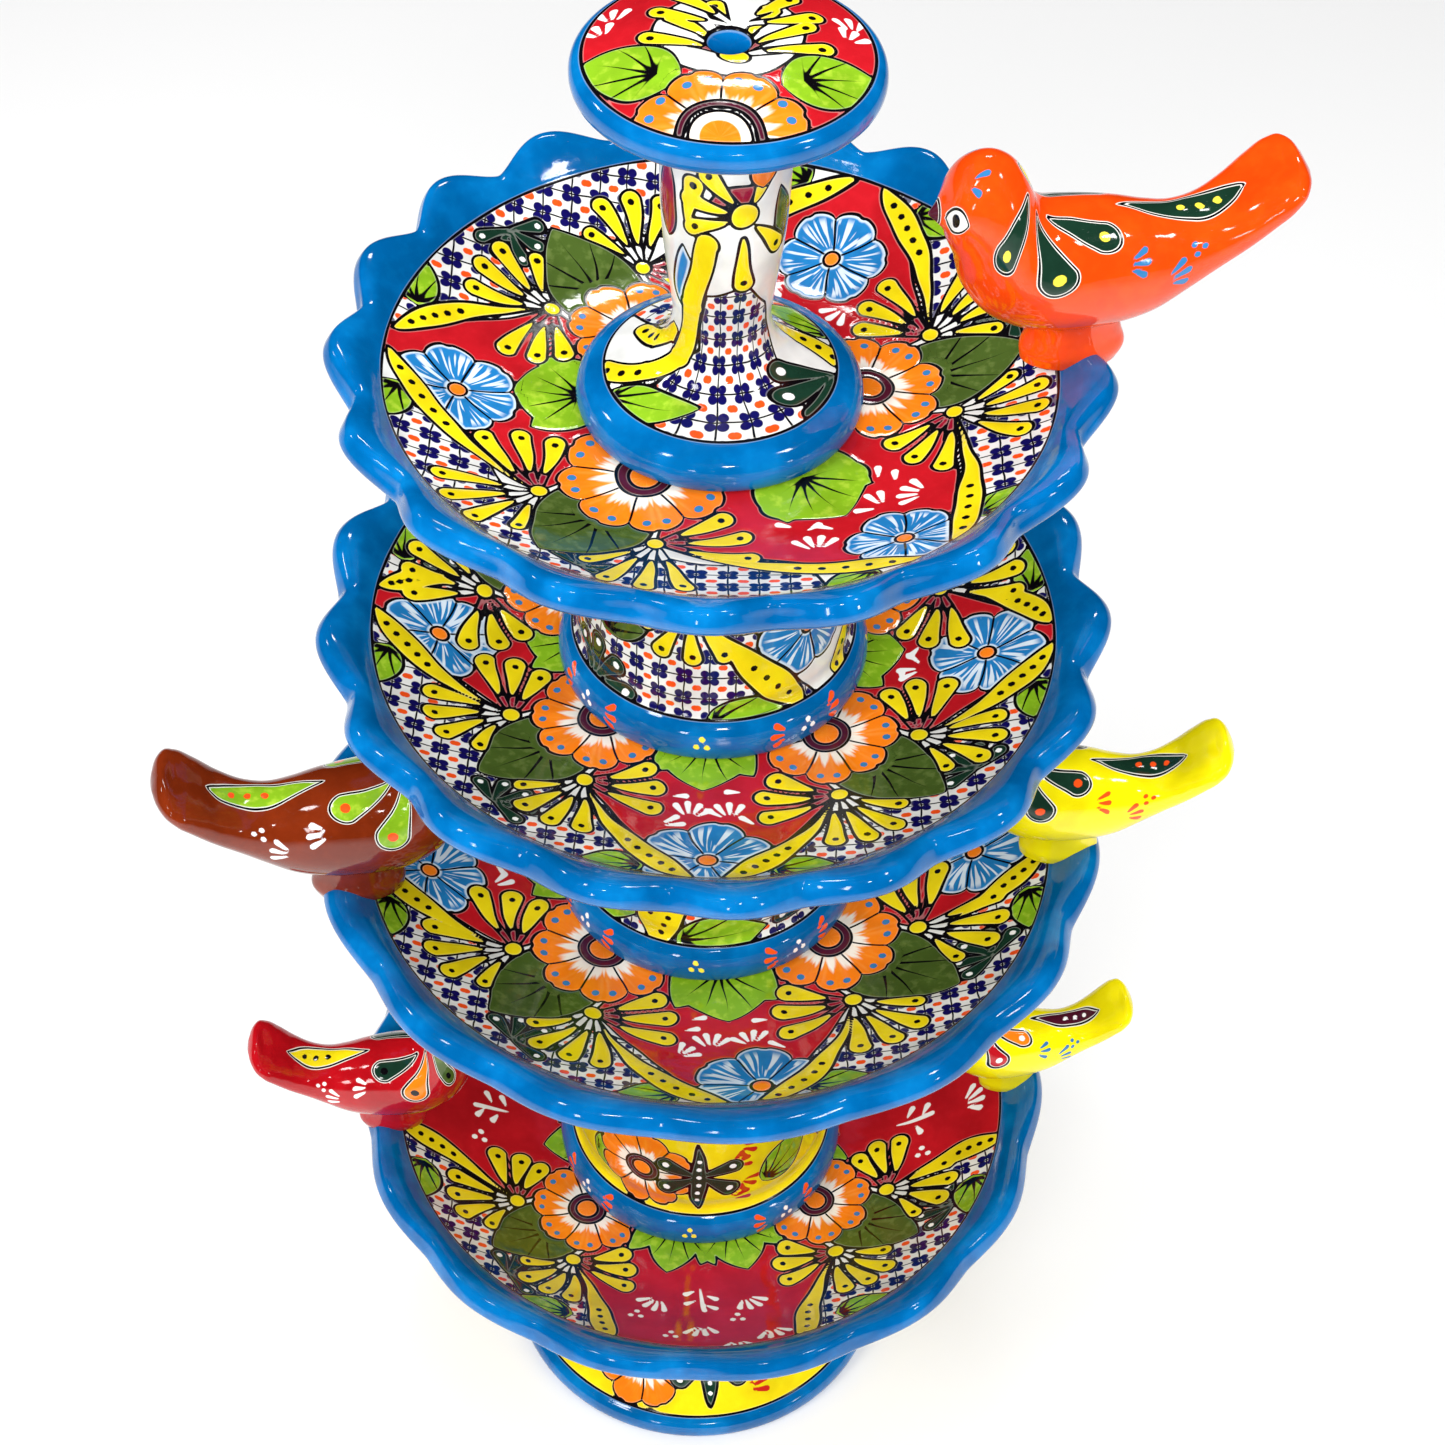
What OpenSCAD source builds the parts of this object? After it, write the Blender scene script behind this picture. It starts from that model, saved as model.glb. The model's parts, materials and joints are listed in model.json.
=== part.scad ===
// Four-tier glazed ceramic fountain with perched birds, a hidden pump and its tube.
// Millimetres, +Z up. Origin: centre of the foot, on the surface it stands on.
// The front is -Y. Every ceramic piece lifts straight up off the one below it.

/* [Quality] */
// facets of the exact round parts
round_fn = 96;         // [48:8:160]

/* [Foot] */
// outer radius of the foot band
foot_r = 146;          // [128:1:170]
// height of the seat that carries the basin
base_h = 196;          // [160:1:240]
// wall of the foot
base_wall = 12;        // [8:0.5:16]

/* [Stack] */
// height of the lower drum, over the pump
riser_h_low = 300;     // [250:1:340]
// height of the middle drum
riser_h_mid = 202;     // [160:1:240]
// height of the upper drum
riser_h_top = 198;     // [160:1:240]
// outer radius of the three drums' foot rings
ring_r_low = 106;      // [98:1:112]
ring_r_mid = 103;      // [94:1:110]
ring_r_top = 98;       // [90:1:106]
// wall of the drums
riser_wall = 9;        // [7:0.5:12]
// radius of the opening at a drum's top
riser_open = 55;       // [48:0.5:60]
// side play and depth of the ring that centres a bowl on its drum
boss_play = 2.5;       // [1.5:0.25:4]
boss_h = 7;            // [4:0.5:10]

/* [Bowls: radius at the inner line, depth, rim reach] */
line_r_low = 225;      // [200:1:245]
line_r_3 = 231;        // [205:1:250]
line_r_2 = 215;        // [195:1:235]
line_r_top = 196;      // [178:1:215]
depth_low = 61;        // [45:1:75]
depth_3 = 47;          // [35:1:60]
depth_2 = 32;          // [24:1:45]
depth_top = 32;        // [24:1:45]
// thickness of a bowl's floor
bowl_t = 12;           // [9:0.5:16]
// radius of the centre hole in the three upper bowls
bowl_hole = 16;        // [13:0.5:20]

/* [Ruffled rims] */
waves_low = 14;        // [10:1:20]
waves_3 = 14;          // [10:1:20]
waves_2 = 17;          // [12:1:22]
waves_top = 17;        // [12:1:22]
ruffle_low = 3.5;      // [0:0.25:6]
ruffle_3 = 4.5;        // [0:0.25:7]
ruffle_2 = 7;          // [0:0.25:10]
ruffle_top = 7.5;      // [0:0.25:10]

/* [Spout column] */
column_h = 250;        // [200:1:280]
column_ring_r = 84;    // [76:1:92]
cap_r = 85;            // [72:1:96]
spout_r = 10.8;        // [9.5:0.1:14]

/* [Birds] */
bird_size = 1.0;       // [0.85:0.01:1.1]

/* [Pump and tube] */
tube_od = 16;          // [14:0.5:19]
tube_id = 12.8;        // [11:0.2:13.4]
pump_w = 46;           // [42:1:56]
pump_l = 56;           // [52:1:66]
pump_h = 46;           // [42:1:56]
foot_h = 6;            // [4:0.5:9]
shaft_r = 1.25;        // [1:0.05:1.6]
shaft_play = 0.05;     // [0.02:0.01:0.09]

// ---- heights worked out from the stack ----
z_basin = base_h + bowl_t;                 // basin floor
z_b3 = z_basin + riser_h_low + bowl_t;     // floor of the third bowl
z_b2 = z_b3 + riser_h_mid + bowl_t;        // floor of the second bowl
z_top = z_b2 + riser_h_top + bowl_t;       // floor of the top bowl
z_tip = z_top + column_h;                  // top of the spout
boss_r = riser_open - boss_play;
pump_z = z_basin + foot_h;
axis_z = pump_z + 22;                      // rotor axis above the basin floor

// ---- profiles ----
// A smooth curve of n pieces from a to d, pulled by b and c.
function bez(a, b, c, d, n) = [for (i = [0:n]) let (t = i / n, u = 1 - t)
    u*u*u*a + 3*u*u*t*b + 3*u*t*t*c + t*t*t*d];
function arc(cx, cy, r, a0, a1, n) = [for (i = [0:n]) let (a = a0 + (a1 - a0) * i / n)
    [cx + r * cos(a), cy + r * sin(a)]];

// ---- ruffled bowls ----
// One point of a bowl's outline: radius, height, and how much of the ruffle it takes.
// Runs over the floor and the inner wall, round the rim, and back under the bowl.
function bowl_line(hole, seat, R, d, rise, lift, bossr) = concat(
    hole > 0 ? [[hole, 0, 0]] : [],
    [[seat * 0.6, 0, 0], [seat, 0, 0]],
    [for (s = [0.3, 0.55, 0.8, 1]) [seat + (R - seat) * s, d * pow(s, 1.7), 0]],
    [[R + 6, d + lift * 0.5, 0.2], [R + 13, d + lift * 0.93, 0.55], [R + 21, d + lift, 0.85],
     [R + rise - 2.5, d + lift * 0.62, 1], [R + rise, d + 1, 1], [R + rise - 3, d - 5, 0.95],
     [R + rise - 11, d - 9, 0.7], [R + 7, d - 13, 0.15]],
    [for (s = [0.72, 0.4]) [seat + (R - seat) * s + bowl_t * 0.55, d * pow(s, 1.7) - bowl_t * 0.95, 0]],
    [[seat + 4, -bowl_t, 0], [bossr + 0.5, -bowl_t, 0], [bossr, -bowl_t - boss_h, 0]],
    hole > 0 ? [[hole, -bowl_t - boss_h, 0]] : []);

// n waves; peak is the angle of one crest; a and b are the reach out and up of a crest
module ruffled_bowl(hole, seat, R, d, rise, lift, bossr, n, per, peak, a, b) {
    prof = bowl_line(hole, seat, R, d, rise, lift, bossr);
    m = len(prof);
    k = n * per;
    pts = [for (i = [0:k - 1]) let (t = 360 * i / k + peak, w = cos(360 * i / per))
        for (p = prof) [(p[0] + a * w * p[2]) * cos(t), (p[0] + a * w * p[2]) * sin(t), p[1] + b * w * p[2]]];
    skin = [for (i = [0:k - 1], j = [0:m - 2]) let (e = (i + 1) % k)
        each [[i*m + j, i*m + j + 1, e*m + j], [e*m + j, i*m + j + 1, e*m + j + 1]]];
    if (hole > 0)
        polyhedron(points = pts, faces = concat(skin, [for (i = [0:k - 1]) let (e = (i + 1) % k)
            each [[i*m + m - 1, i*m, e*m + m - 1], [e*m + m - 1, i*m, e*m]]]), convexity = 6);
    else
        polyhedron(points = concat(pts, [[0, 0, 0], [0, 0, prof[m - 1][1]]]),
            faces = concat(skin, [for (i = [0:k - 1]) let (e = (i + 1) % k)
                each [[k*m, i*m, e*m], [k*m + 1, e*m + m - 1, i*m + m - 1]]]), convexity = 6);
}

module basin_bowl() color([0.05, 0.45, 0.78]) translate([0, 0, z_basin])
    ruffled_bowl(0, 110, line_r_low, depth_low, 27, 12, boss_r + 5, waves_low, 8, 0, ruffle_low, ruffle_low * 0.9);
module bowl_lower() color([0.05, 0.45, 0.78]) translate([0, 0, z_b3])
    ruffled_bowl(bowl_hole, 107, line_r_3, depth_3, 29, 12, boss_r, waves_3, 8, -5, ruffle_3, ruffle_3 * 0.9);
module bowl_middle() color([0.05, 0.45, 0.78]) translate([0, 0, z_b2])
    ruffled_bowl(bowl_hole, 105, line_r_2, depth_2, 28, 12, boss_r, waves_2, 7, -1, ruffle_2, ruffle_2 * 0.85);
module bowl_top() color([0.05, 0.45, 0.78]) translate([0, 0, z_top])
    ruffled_bowl(bowl_hole, 100, line_r_top, depth_top, 26, 12, boss_r, waves_top, 7, -92, ruffle_top, ruffle_top * 0.8);

// ---- foot ----
module base_pedestal() color([0.1, 0.2, 0.35])
    rotate_extrude($fn = round_fn) polygon(concat(
        [[foot_r - 16, 0], [foot_r - 4, 0], [foot_r - 1, 2], [foot_r, 6], [foot_r - 0.5, 11], [foot_r - 3, 15]],
        bez([foot_r - 7, 17], [foot_r - 24, 36], [foot_r - 44, 66], [foot_r - 43, 120], 8),
        [[foot_r - 41, 150], [foot_r - 35, base_h - 20], [foot_r - 28, base_h - 6], [foot_r - 28, base_h]],
        [[boss_r + 5 + boss_play, base_h], [boss_r + 5 + boss_play, base_h - 12],
         [foot_r - 47, base_h - 16], [foot_r - 43 - base_wall, base_h - 46],
         [foot_r - 43 - base_wall, 116], [foot_r - 34 - base_wall, 64], [foot_r - 16, 12]]));

// ---- drums ----
// h height, rr radius of the foot ring, top radius at the top
module drum(h, rr, top) rotate_extrude($fn = round_fn) polygon(concat(
        [[rr - 12, 0], [rr - 5, 0], [rr - 2, 2.5], [rr - 0.4, 7], [rr, 12], [rr - 0.8, 18], [rr - 3.5, 24], [rr - 8, 28.5]],
        bez([rr - 10.5, 31], [rr - 12, 60], [top + 3, h * 0.6], [top, h - 12], 7),
        [[top + 1, h - 3], [top, h], [riser_open, h], [riser_open, h - 10], [top - riser_wall, h - 14]],
        bez([top - riser_wall, h - 20], [top + 3 - riser_wall, h * 0.6], [rr - 12 - riser_wall, 60], [rr - 10.5 - riser_wall, 34], 5),
        [[rr - 12, 12]]));

module riser_lower() color([0.85, 0.6, 0.15]) translate([0, 0, z_basin]) difference() {
    drum(riser_h_low, ring_r_low, 84);
    // water way at the back, at the foot
    translate([0, ring_r_low, 0]) rotate([90, 0, 0]) union() {
        translate([-15, -5, -10]) cube([30, 17, 50]);
        translate([0, 12, -10]) cylinder(r = 15, h = 50, $fn = 48);
    }
}
module riser_middle() color([0.85, 0.6, 0.15]) translate([0, 0, z_b3]) drum(riser_h_mid, ring_r_mid, 80);
module riser_upper() color([0.85, 0.6, 0.15]) translate([0, 0, z_b2]) drum(riser_h_top, ring_r_top, 77);

// ---- spout column with its mushroom cap ----
module spout_column() color([0.95, 0.85, 0.2]) translate([0, 0, z_top]) {
    c = column_ring_r;
    h = column_h;
    rotate_extrude($fn = round_fn) polygon(concat(
        [[c - 14, 0], [c - 5, 0], [c - 1.6, 3], [c, 8.5], [c - 0.8, 14], [c - 3.5, 19], [c - 8, 23]],
        bez([c - 10, 24], [c - 30, 34], [32, 34], [28.5, 64], 9),
        bez([29.5, 84], [33, 110], [37, 135], [36.5, h - 62], 5),
        [[36.5, h - 50], [41, h - 40], [52, h - 33.5], [cap_r - 12, h - 29.5], [cap_r - 5, h - 28.5], [cap_r - 1.2, h - 25],
         [cap_r, h - 19.5], [cap_r - 1.4, h - 14], [cap_r - 6, h - 10.5]],
        bez([cap_r - 8, h - 10], [cap_r - 30, h - 3], [40, h], [spout_r + 5, h], 6),
        [[spout_r + 1.5, h - 1], [spout_r, h - 3.5], [spout_r, 62]],
        bez([spout_r + 6, 52], [24, 30], [c - 34, 24], [c - 20, 16], 5),
        [[c - 15, 8]]));
}

// ---- birds ----
// One slice of a bird: [inner x, inner z, outer x, outer z, half width], from beak to tail.
// x runs from the beak (-) to the tail (+), z is above the rim.
bird_slices = [
    [-103, 97, -103, 95, 1.2], [-99, 103, -99, 91, 4.5], [-95, 110, -95, 87, 11], [-91, 119, -93, 81, 17],
    [-85, 127, -90, 74, 21.5], [-77, 132, -87, 67, 24], [-68, 133, -85, 59, 26], [-59, 129, -83, 51, 28],
    [-51, 120, -79, 43, 30], [-46, 110, -73, 34, 32], [-42, 101, -64, 26, 34], [-35, 96, -50, 19, 36],
    [-23, 94.5, -32, 15, 37], [-8, 93.5, -12, 14, 36], [8, 91.5, 10, 16, 33.5], [24, 88, 30, 22, 30],
    [40, 86, 48, 35, 27], [55, 89, 64, 50, 27], [69, 97, 79, 65, 29], [82, 108, 92, 80, 31],
    [93, 116, 102, 92, 31], [100, 119, 108, 100, 27], [105, 118, 111, 105, 19], [109, 114, 112, 109, 8]];
bird_ring = 20;
module bird(s) scale(s) union() {
    m = bird_ring;
    k = len(bird_slices);
    pts = [for (q = bird_slices) let (cx = (q[0] + q[2]) / 2, cz = (q[1] + q[3]) / 2, hx = (q[0] - q[2]) / 2, hz = (q[1] - q[3]) / 2)
        for (j = [0:m - 1]) let (a = 360 * j / m) [cx + hx * cos(a), q[4] * sin(a), cz + hz * cos(a)]];
    polyhedron(points = pts, faces = concat(
        [[for (j = [m - 1:-1:0]) j]],
        [for (i = [0:k - 2], j = [0:m - 1]) let (e = (j + 1) % m)
            each [[i*m + j, i*m + e, (i + 1)*m + j], [(i + 1)*m + j, i*m + e, (i + 1)*m + e]]],
        [[for (j = [0:m - 1]) (k - 1)*m + j]]), convexity = 4);
}
// the clay saddle that holds it on the rim
module saddle() {
    m = 16;
    rings = [[-13, 30, 24, 32], [-12, 26, 19, 20], [-11, 28, 18, 6], [-11, 31, 19, -5], [-12, 29, 17, -13]];
    k = len(rings);
    pts = [for (q = rings, j = [0:m - 1]) let (a = 360 * j / m) [q[0] + q[1] * cos(a), q[2] * sin(a), q[3]]];
    polyhedron(points = pts, faces = concat(
        [[for (j = [m - 1:-1:0]) j]],
        [for (i = [0:k - 2], j = [0:m - 1]) let (e = (j + 1) % m)
            each [[i*m + j, i*m + e, (i + 1)*m + j], [i*m + e, (i + 1)*m + e, (i + 1)*m + j]]],
        [[for (j = [0:m - 1]) (k - 1)*m + j]]), convexity = 2);
}
// r where it sits, az which way out, z the rim's top, yaw its own turn, s its size
module perched(r, az, z, yaw, s) rotate([0, 0, az]) translate([r, 0, z]) rotate([0, 0, yaw]) {
    bird(s * bird_size);
    scale(s * bird_size) saddle();
}
module bird_orange() color([0.95, 0.38, 0.05]) perched(line_r_top + 18, 4, z_top + depth_top + 14, 6, 1);
module bird_brown() color([0.42, 0.16, 0.06]) perched(line_r_3 + 18, 195, z_b3 + depth_3 + 13, -3, 1);
module bird_yellow() color([0.95, 0.9, 0.05]) perched(line_r_3 + 14, -4, z_b3 + depth_3 + 13, 5, 0.85);
module bird_red() color([0.7, 0.05, 0.08]) perched(line_r_low + 14, 190, z_basin + depth_low + 12, -3, 0.8);
module bird_small_yellow() color([0.95, 0.9, 0.05]) perched(line_r_low + 12, 2, z_basin + depth_low + 12, 6, 0.7);

// ---- tube and its collars ----
tube_z0 = pump_z + pump_h + 1;
module water_tube() color([0.8, 0.88, 0.9]) difference() {
    translate([0, 0, tube_z0]) cylinder(r = tube_od / 2, h = z_tip - 16 - tube_z0, $fn = 48);
    translate([0, 0, tube_z0 - 1]) cylinder(r = tube_id / 2, h = z_tip - tube_z0, $fn = 48);
}
module collar(z) color([0.12, 0.12, 0.13]) translate([0, 0, z]) difference() {
    union() {
        cylinder(r = bowl_hole + 6, h = 3, $fn = 48);
        translate([0, 0, -bowl_t]) cylinder(r = bowl_hole - 0.5, h = bowl_t + 1, $fn = 48);
    }
    translate([0, 0, -bowl_t - 1]) cylinder(r = tube_od / 2 + 0.6, h = bowl_t + 6, $fn = 48);
}
module tube_collar_lower() collar(z_b3);
module tube_collar_middle() collar(z_b2);
module tube_collar_upper() collar(z_top);

// ---- pump ----
// a rounded rectangle standing on the XY plane
module rounded_block(w, l, h, r) linear_extrude(height = h) union() {
    translate([-w/2 + r, 0]) square([w - 2*r, l]);
    translate([-w/2, r]) square([w, l - 2*r]);
    for (x = [-w/2 + r, w/2 - r], y = [r, l - r]) translate([x, y]) circle(r = r, $fn = 32);
}
well_r = 8.6;
chamber_r = 15.5;
back_y = pump_l - 9;
module along_y(y, z = axis_z) translate([0, y, z]) rotate([-90, 0, 0]) children();

module pump_housing() color([0.1, 0.1, 0.12]) difference() {
    union() {
        translate([0, -9, pump_z]) rounded_block(pump_w, pump_l, pump_h, 6);
        // hose barb
        translate([0, 0, pump_z + pump_h - 1]) cylinder(r = tube_id / 2 - 0.1, h = 19, $fn = 48);
        for (k = [0, 1, 2]) translate([0, 0, pump_z + pump_h + 4 + 5 * k])
            cylinder(r1 = tube_id / 2 + 0.35, r2 = tube_id / 2 - 0.1, h = 4, $fn = 48);
        // cable gland
        translate([12, back_y - 1, pump_z + 32]) rotate([-90, 0, 0]) cylinder(r = 5, h = 9, $fn = 32);
    }
    along_y(-10) cylinder(r = chamber_r, h = 17, $fn = 64);
    along_y(6) cylinder(r = well_r, h = 34, $fn = 48);
    along_y(39) cylinder(r = shaft_r, h = 4, $fn = 32);
    translate([0, 0, axis_z]) cylinder(r = 4.6, h = pump_h + 22, $fn = 40);
    translate([12, back_y - 2, pump_z + 32]) rotate([-90, 0, 0]) cylinder(r = 2.8, h = 12, $fn = 32);
}
module pump_shaft() color([0.9, 0.9, 0.88]) along_y(-12) cylinder(r = shaft_r, h = 55, $fn = 32);
module pump_impeller() color([0.25, 0.25, 0.28]) difference() {
    union() {
        along_y(5) cylinder(r = well_r - 0.6, h = 33, $fn = 48);
        along_y(3) cylinder(r = 12.5, h = 2.5, $fn = 48);
        along_y(-7) cylinder(r = 3.5, h = 11, $fn = 32);
        for (a = [0:60:300]) along_y(-7) rotate([0, 0, a]) translate([2.5, -1, 0]) cube([10, 2, 11]);
    }
    along_y(-8) cylinder(r = shaft_r + shaft_play, h = 47, $fn = 32);
}
module pump_cover() color([0.14, 0.14, 0.16]) translate([0, -31, pump_z]) {
    difference() {
        rounded_block(pump_w, 21.9, pump_h, 5);
        translate([-pump_w/2 + 2.5, 2.5, 2.5]) cube([pump_w - 5, 16.9, pump_h - 5]);
        // inlet eye
        translate([0, 18, 22]) rotate([-90, 0, 0]) cylinder(r = 7, h = 6, $fn = 40);
        // front slots
        for (x = [-18.5, -15, -11.5, 9, 12.5, 16]) translate([x, -1, 8]) cube([2, 5, pump_h - 16]);
        for (z = [8:7:36], s = [-1, 1]) translate([s > 0 ? pump_w/2 - 3.5 : -pump_w/2 - 1, 6, z]) cube([4.5, 10, 2.2]);
    }
    // pin for the dial
    translate([0, -6, 22]) rotate([-90, 0, 0]) cylinder(r = 2.2, h = 7, $fn = 32);
    translate([0, -7.4, 22]) rotate([-90, 0, 0]) cylinder(r = 3.6, h = 1.5, $fn = 32);
}
module flow_dial() color([0.75, 0.75, 0.72]) translate([0, -36.4, axis_z]) rotate([-90, 0, 0]) difference() {
    union() {
        cylinder(r = 8, h = 4.2, $fn = 48);
        translate([-1.2, -11, 0]) cube([2.4, 6, 4.2]);
    }
    translate([0, 0, -1]) cylinder(r = 2.25, h = 7, $fn = 32);
    translate([0, 0, -1]) cylinder(r = 4.2, h = 1.2, $fn = 32);
}
module cup(x, y) color([0.12, 0.12, 0.13]) translate([x, y, z_basin])
    rotate_extrude($fn = 48) polygon([[5.5, 0], [8, 0], [7.2, 1.6], [4, 3.4], [3.4, foot_h], [0, foot_h], [0, 3.2], [3.4, 2.2]]);
module pump_foot_a() cup(-15, -1);
module pump_foot_b() cup(15, -1);
module pump_foot_c() cup(-15, back_y - 9);
module pump_foot_d() cup(15, back_y - 9);

base_pedestal();
basin_bowl();
riser_lower();
bowl_lower();
riser_middle();
bowl_middle();
riser_upper();
bowl_top();
spout_column();
bird_orange();
bird_brown();
bird_yellow();
bird_red();
bird_small_yellow();
water_tube();
tube_collar_lower();
tube_collar_middle();
tube_collar_upper();
pump_housing();
pump_cover();
pump_shaft();
pump_impeller();
flow_dial();
pump_foot_a();
pump_foot_b();
pump_foot_c();
pump_foot_d();
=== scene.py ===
# %% [markdown]
# # A four-tier glazed fountain
# Four ruffled bowls stand on hollow drums, one above the other, with a
# waisted spout on top and five clay birds on the rims. Every clay piece is a
# separate casting, painted by hand and fired. The solid model gives the
# sizes, the places and the moving bodies, so it is loaded first and never
# changed.

# %% Load the fixed frame
import json
import math

import bpy
import numpy as np
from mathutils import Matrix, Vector

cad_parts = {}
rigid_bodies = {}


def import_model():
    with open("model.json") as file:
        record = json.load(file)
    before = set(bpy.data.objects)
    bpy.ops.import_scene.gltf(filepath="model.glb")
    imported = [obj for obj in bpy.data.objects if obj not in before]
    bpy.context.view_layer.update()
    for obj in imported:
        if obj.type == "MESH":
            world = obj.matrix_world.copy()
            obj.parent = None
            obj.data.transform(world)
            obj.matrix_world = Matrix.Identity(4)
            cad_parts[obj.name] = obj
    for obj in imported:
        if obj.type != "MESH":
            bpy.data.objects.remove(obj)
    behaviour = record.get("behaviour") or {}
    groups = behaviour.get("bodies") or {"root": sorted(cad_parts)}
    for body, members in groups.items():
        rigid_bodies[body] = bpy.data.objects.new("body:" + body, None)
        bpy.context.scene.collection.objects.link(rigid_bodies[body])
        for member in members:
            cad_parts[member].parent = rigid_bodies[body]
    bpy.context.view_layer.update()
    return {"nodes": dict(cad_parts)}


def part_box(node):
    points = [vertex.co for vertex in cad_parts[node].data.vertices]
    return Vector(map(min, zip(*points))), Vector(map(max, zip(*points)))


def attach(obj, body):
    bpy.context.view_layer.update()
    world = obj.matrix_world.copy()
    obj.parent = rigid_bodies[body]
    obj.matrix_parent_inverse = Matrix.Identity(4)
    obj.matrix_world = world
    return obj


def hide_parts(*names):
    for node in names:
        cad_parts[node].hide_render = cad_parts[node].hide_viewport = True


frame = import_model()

MM = 0.001
CELL = 17.0     # one small flower of the check, in millimetres
print("pieces in the frame:", len(frame["nodes"]))

# %% [markdown]
# ## Camera
# The fountain is seen from well above, a little more than half way between
# level and straight down, so every bowl shows its painted inside. A long lens
# keeps the top tier from looming. The camera is turned by three plain angles.

# %% Camera
camera = bpy.data.objects.new("camera", bpy.data.cameras.new("camera"))
bpy.context.scene.collection.objects.link(camera)
camera.location = (0.0001, -1.2866, 2.0596)
camera.rotation_euler = [math.radians(a) for a in (44.976, -1.205, 0.973)]
camera.data.lens = 72.25
camera.data.sensor_width = 36.0
camera.data.shift_y = -0.08
camera.data.clip_end = 50
bpy.context.scene.camera = camera
print("camera", tuple(round(c, 3) for c in camera.location))

# %% [markdown]
# ## Drawing a smooth line
# A potter's template is a curved outline. Here it is a few chosen points,
# joined by cubic curves whose direction at each point follows its two
# neighbours. A corner point keeps the straight direction of each side, so it
# stays sharp.

# %% Smooth lines
def smooth_line(points, steps, corners=(), closed=False):
    """Cubic Hermite curve through the points, as one dense array.

    points: rows of numbers (radius, height, anything else that goes along).
    steps: how many pieces each span between two points is cut into.
    The direction at a point is the mean slope of its two spans, by length.
    """
    P = np.asarray(points, float)
    count = len(P)
    spans = count if closed else count - 1
    after = np.roll(P, -1, axis=0)
    length = np.maximum(np.hypot(*(after - P)[:, :2].T), 1e-6)
    slope = (after - P) / length[:, None]
    before, back = np.roll(slope, 1, axis=0), np.roll(length, 1)
    mean = (slope * back[:, None] + before * length[:, None]) / (length + back)[:, None]
    leave, arrive = mean.copy(), mean.copy()
    sharp = list(corners) + ([] if closed else [0, count - 1])
    leave[sharp], arrive[sharp] = slope[sharp], before[sharp]
    parts = []
    for i in range(spans):
        j = (i + 1) % count
        t = np.linspace(0, 1, steps[i], endpoint=False)[:, None]
        parts.append((2*t**3 - 3*t**2 + 1) * P[i] + (t**3 - 2*t**2 + t) * length[i] * leave[i]
                     + (3*t**2 - 2*t**3) * P[j] + (t**3 - t**2) * length[i] * arrive[j])
    if not closed:
        parts.append(P[-1:])
    return np.concatenate(parts)


def bend_line(a, b, c, d, count):
    """Bezier curve from a to d pulled by b and c: (1-t)^3 a + 3(1-t)^2 t b + 3(1-t) t^2 c + t^3 d."""
    t = np.linspace(0, 1, count + 1)[:, None]
    a, b, c, d = (np.asarray(p, float) for p in (a, b, c, d))
    return ((1-t)**3 * a + 3*(1-t)**2 * t * b + 3*(1-t) * t**2 * c + t**3 * d).tolist()


def cut(points, fine, coarse, is_fine):
    """Pieces per span so that each is about fine (or coarse) millimetres long."""
    P = np.asarray(points, float)[:, :2]
    length = np.hypot(*(np.roll(P, -1, axis=0) - P).T)
    return [max(1, round(l / (fine if is_fine(i) else coarse))) for i, l in enumerate(length)]

# %% [markdown]
# ## From a grid of points to a piece
# A turned or moulded piece is one closed skin. Its points are worked out as a
# whole grid, one way along the outline and the other way round, and neighbours
# are joined by four-sided faces. The grid closes on itself round the piece, and
# where the outline starts and ends on the axis a fan of triangles closes the
# pole. The sign of the enclosed volume tells whether the faces point outwards.

# %% Grid to mesh
def skin(name, P, loop, paint=None, sheet=None):
    """Makes the object from points P[i, j] in millimetres; i runs along the
    outline, j round the piece. loop: the outline closes too; otherwise its two
    ends are closed by fans round their mean points. paint: the fields to store
    on the points. sheet: u and v in millimetres for the pattern map."""
    rows, cols = P.shape[:2]
    V = P.reshape(-1, 3)
    i = np.arange(rows if loop else rows - 1)[:, None]
    j = np.arange(cols)[None, :]
    up, on = (i + 1) % rows, (j + 1) % cols
    quads = np.stack([i*cols + j, up*cols + j, up*cols + on, i*cols + on], -1).reshape(-1, 4)
    tris = np.zeros((0, 3), int)
    if not loop:
        V = np.concatenate([V, P[0].mean(0)[None], P[-1].mean(0)[None]])
        ring, nxt = j[0], (j[0] + 1) % cols
        first, last = np.full(cols, rows*cols), np.full(cols, rows*cols + 1)
        tris = np.concatenate([np.stack([first, ring, nxt], -1),
                               np.stack([last, (rows-1)*cols + nxt, (rows-1)*cols + ring], -1)])
    A, B, C, D = (V[quads[:, k]] for k in range(4))
    volume = np.sum(np.cross(A, B) * C) + np.sum(np.cross(A, C) * D)
    if volume < 0:
        quads, tris = quads[:, ::-1], tris[:, ::-1]
    mesh = bpy.data.meshes.new(name)
    mesh.vertices.add(len(V))
    mesh.vertices.foreach_set("co", (V * MM).ravel())
    corners = np.concatenate([quads.ravel(), tris.ravel()])
    mesh.loops.add(len(corners))
    mesh.loops.foreach_set("vertex_index", corners)
    mesh.polygons.add(len(quads) + len(tris))
    mesh.polygons.foreach_set("loop_start", np.concatenate(
        [np.arange(len(quads)) * 4, quads.size + np.arange(len(tris)) * 3]))
    mesh.update(calc_edges=True)
    mesh.polygons.foreach_set("use_smooth", np.ones(len(mesh.polygons), bool))
    if sheet is not None:
        store_map(mesh, sheet, corners, len(quads), len(V))
    if paint is not None:
        store_paint(mesh, paint, len(V))
    mesh.validate()
    piece = bpy.data.objects.new(name, mesh)
    bpy.context.scene.collection.objects.link(piece)
    print(f"{name}: {len(V)} points, {2*len(quads) + len(tris)} triangles")
    return piece


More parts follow.
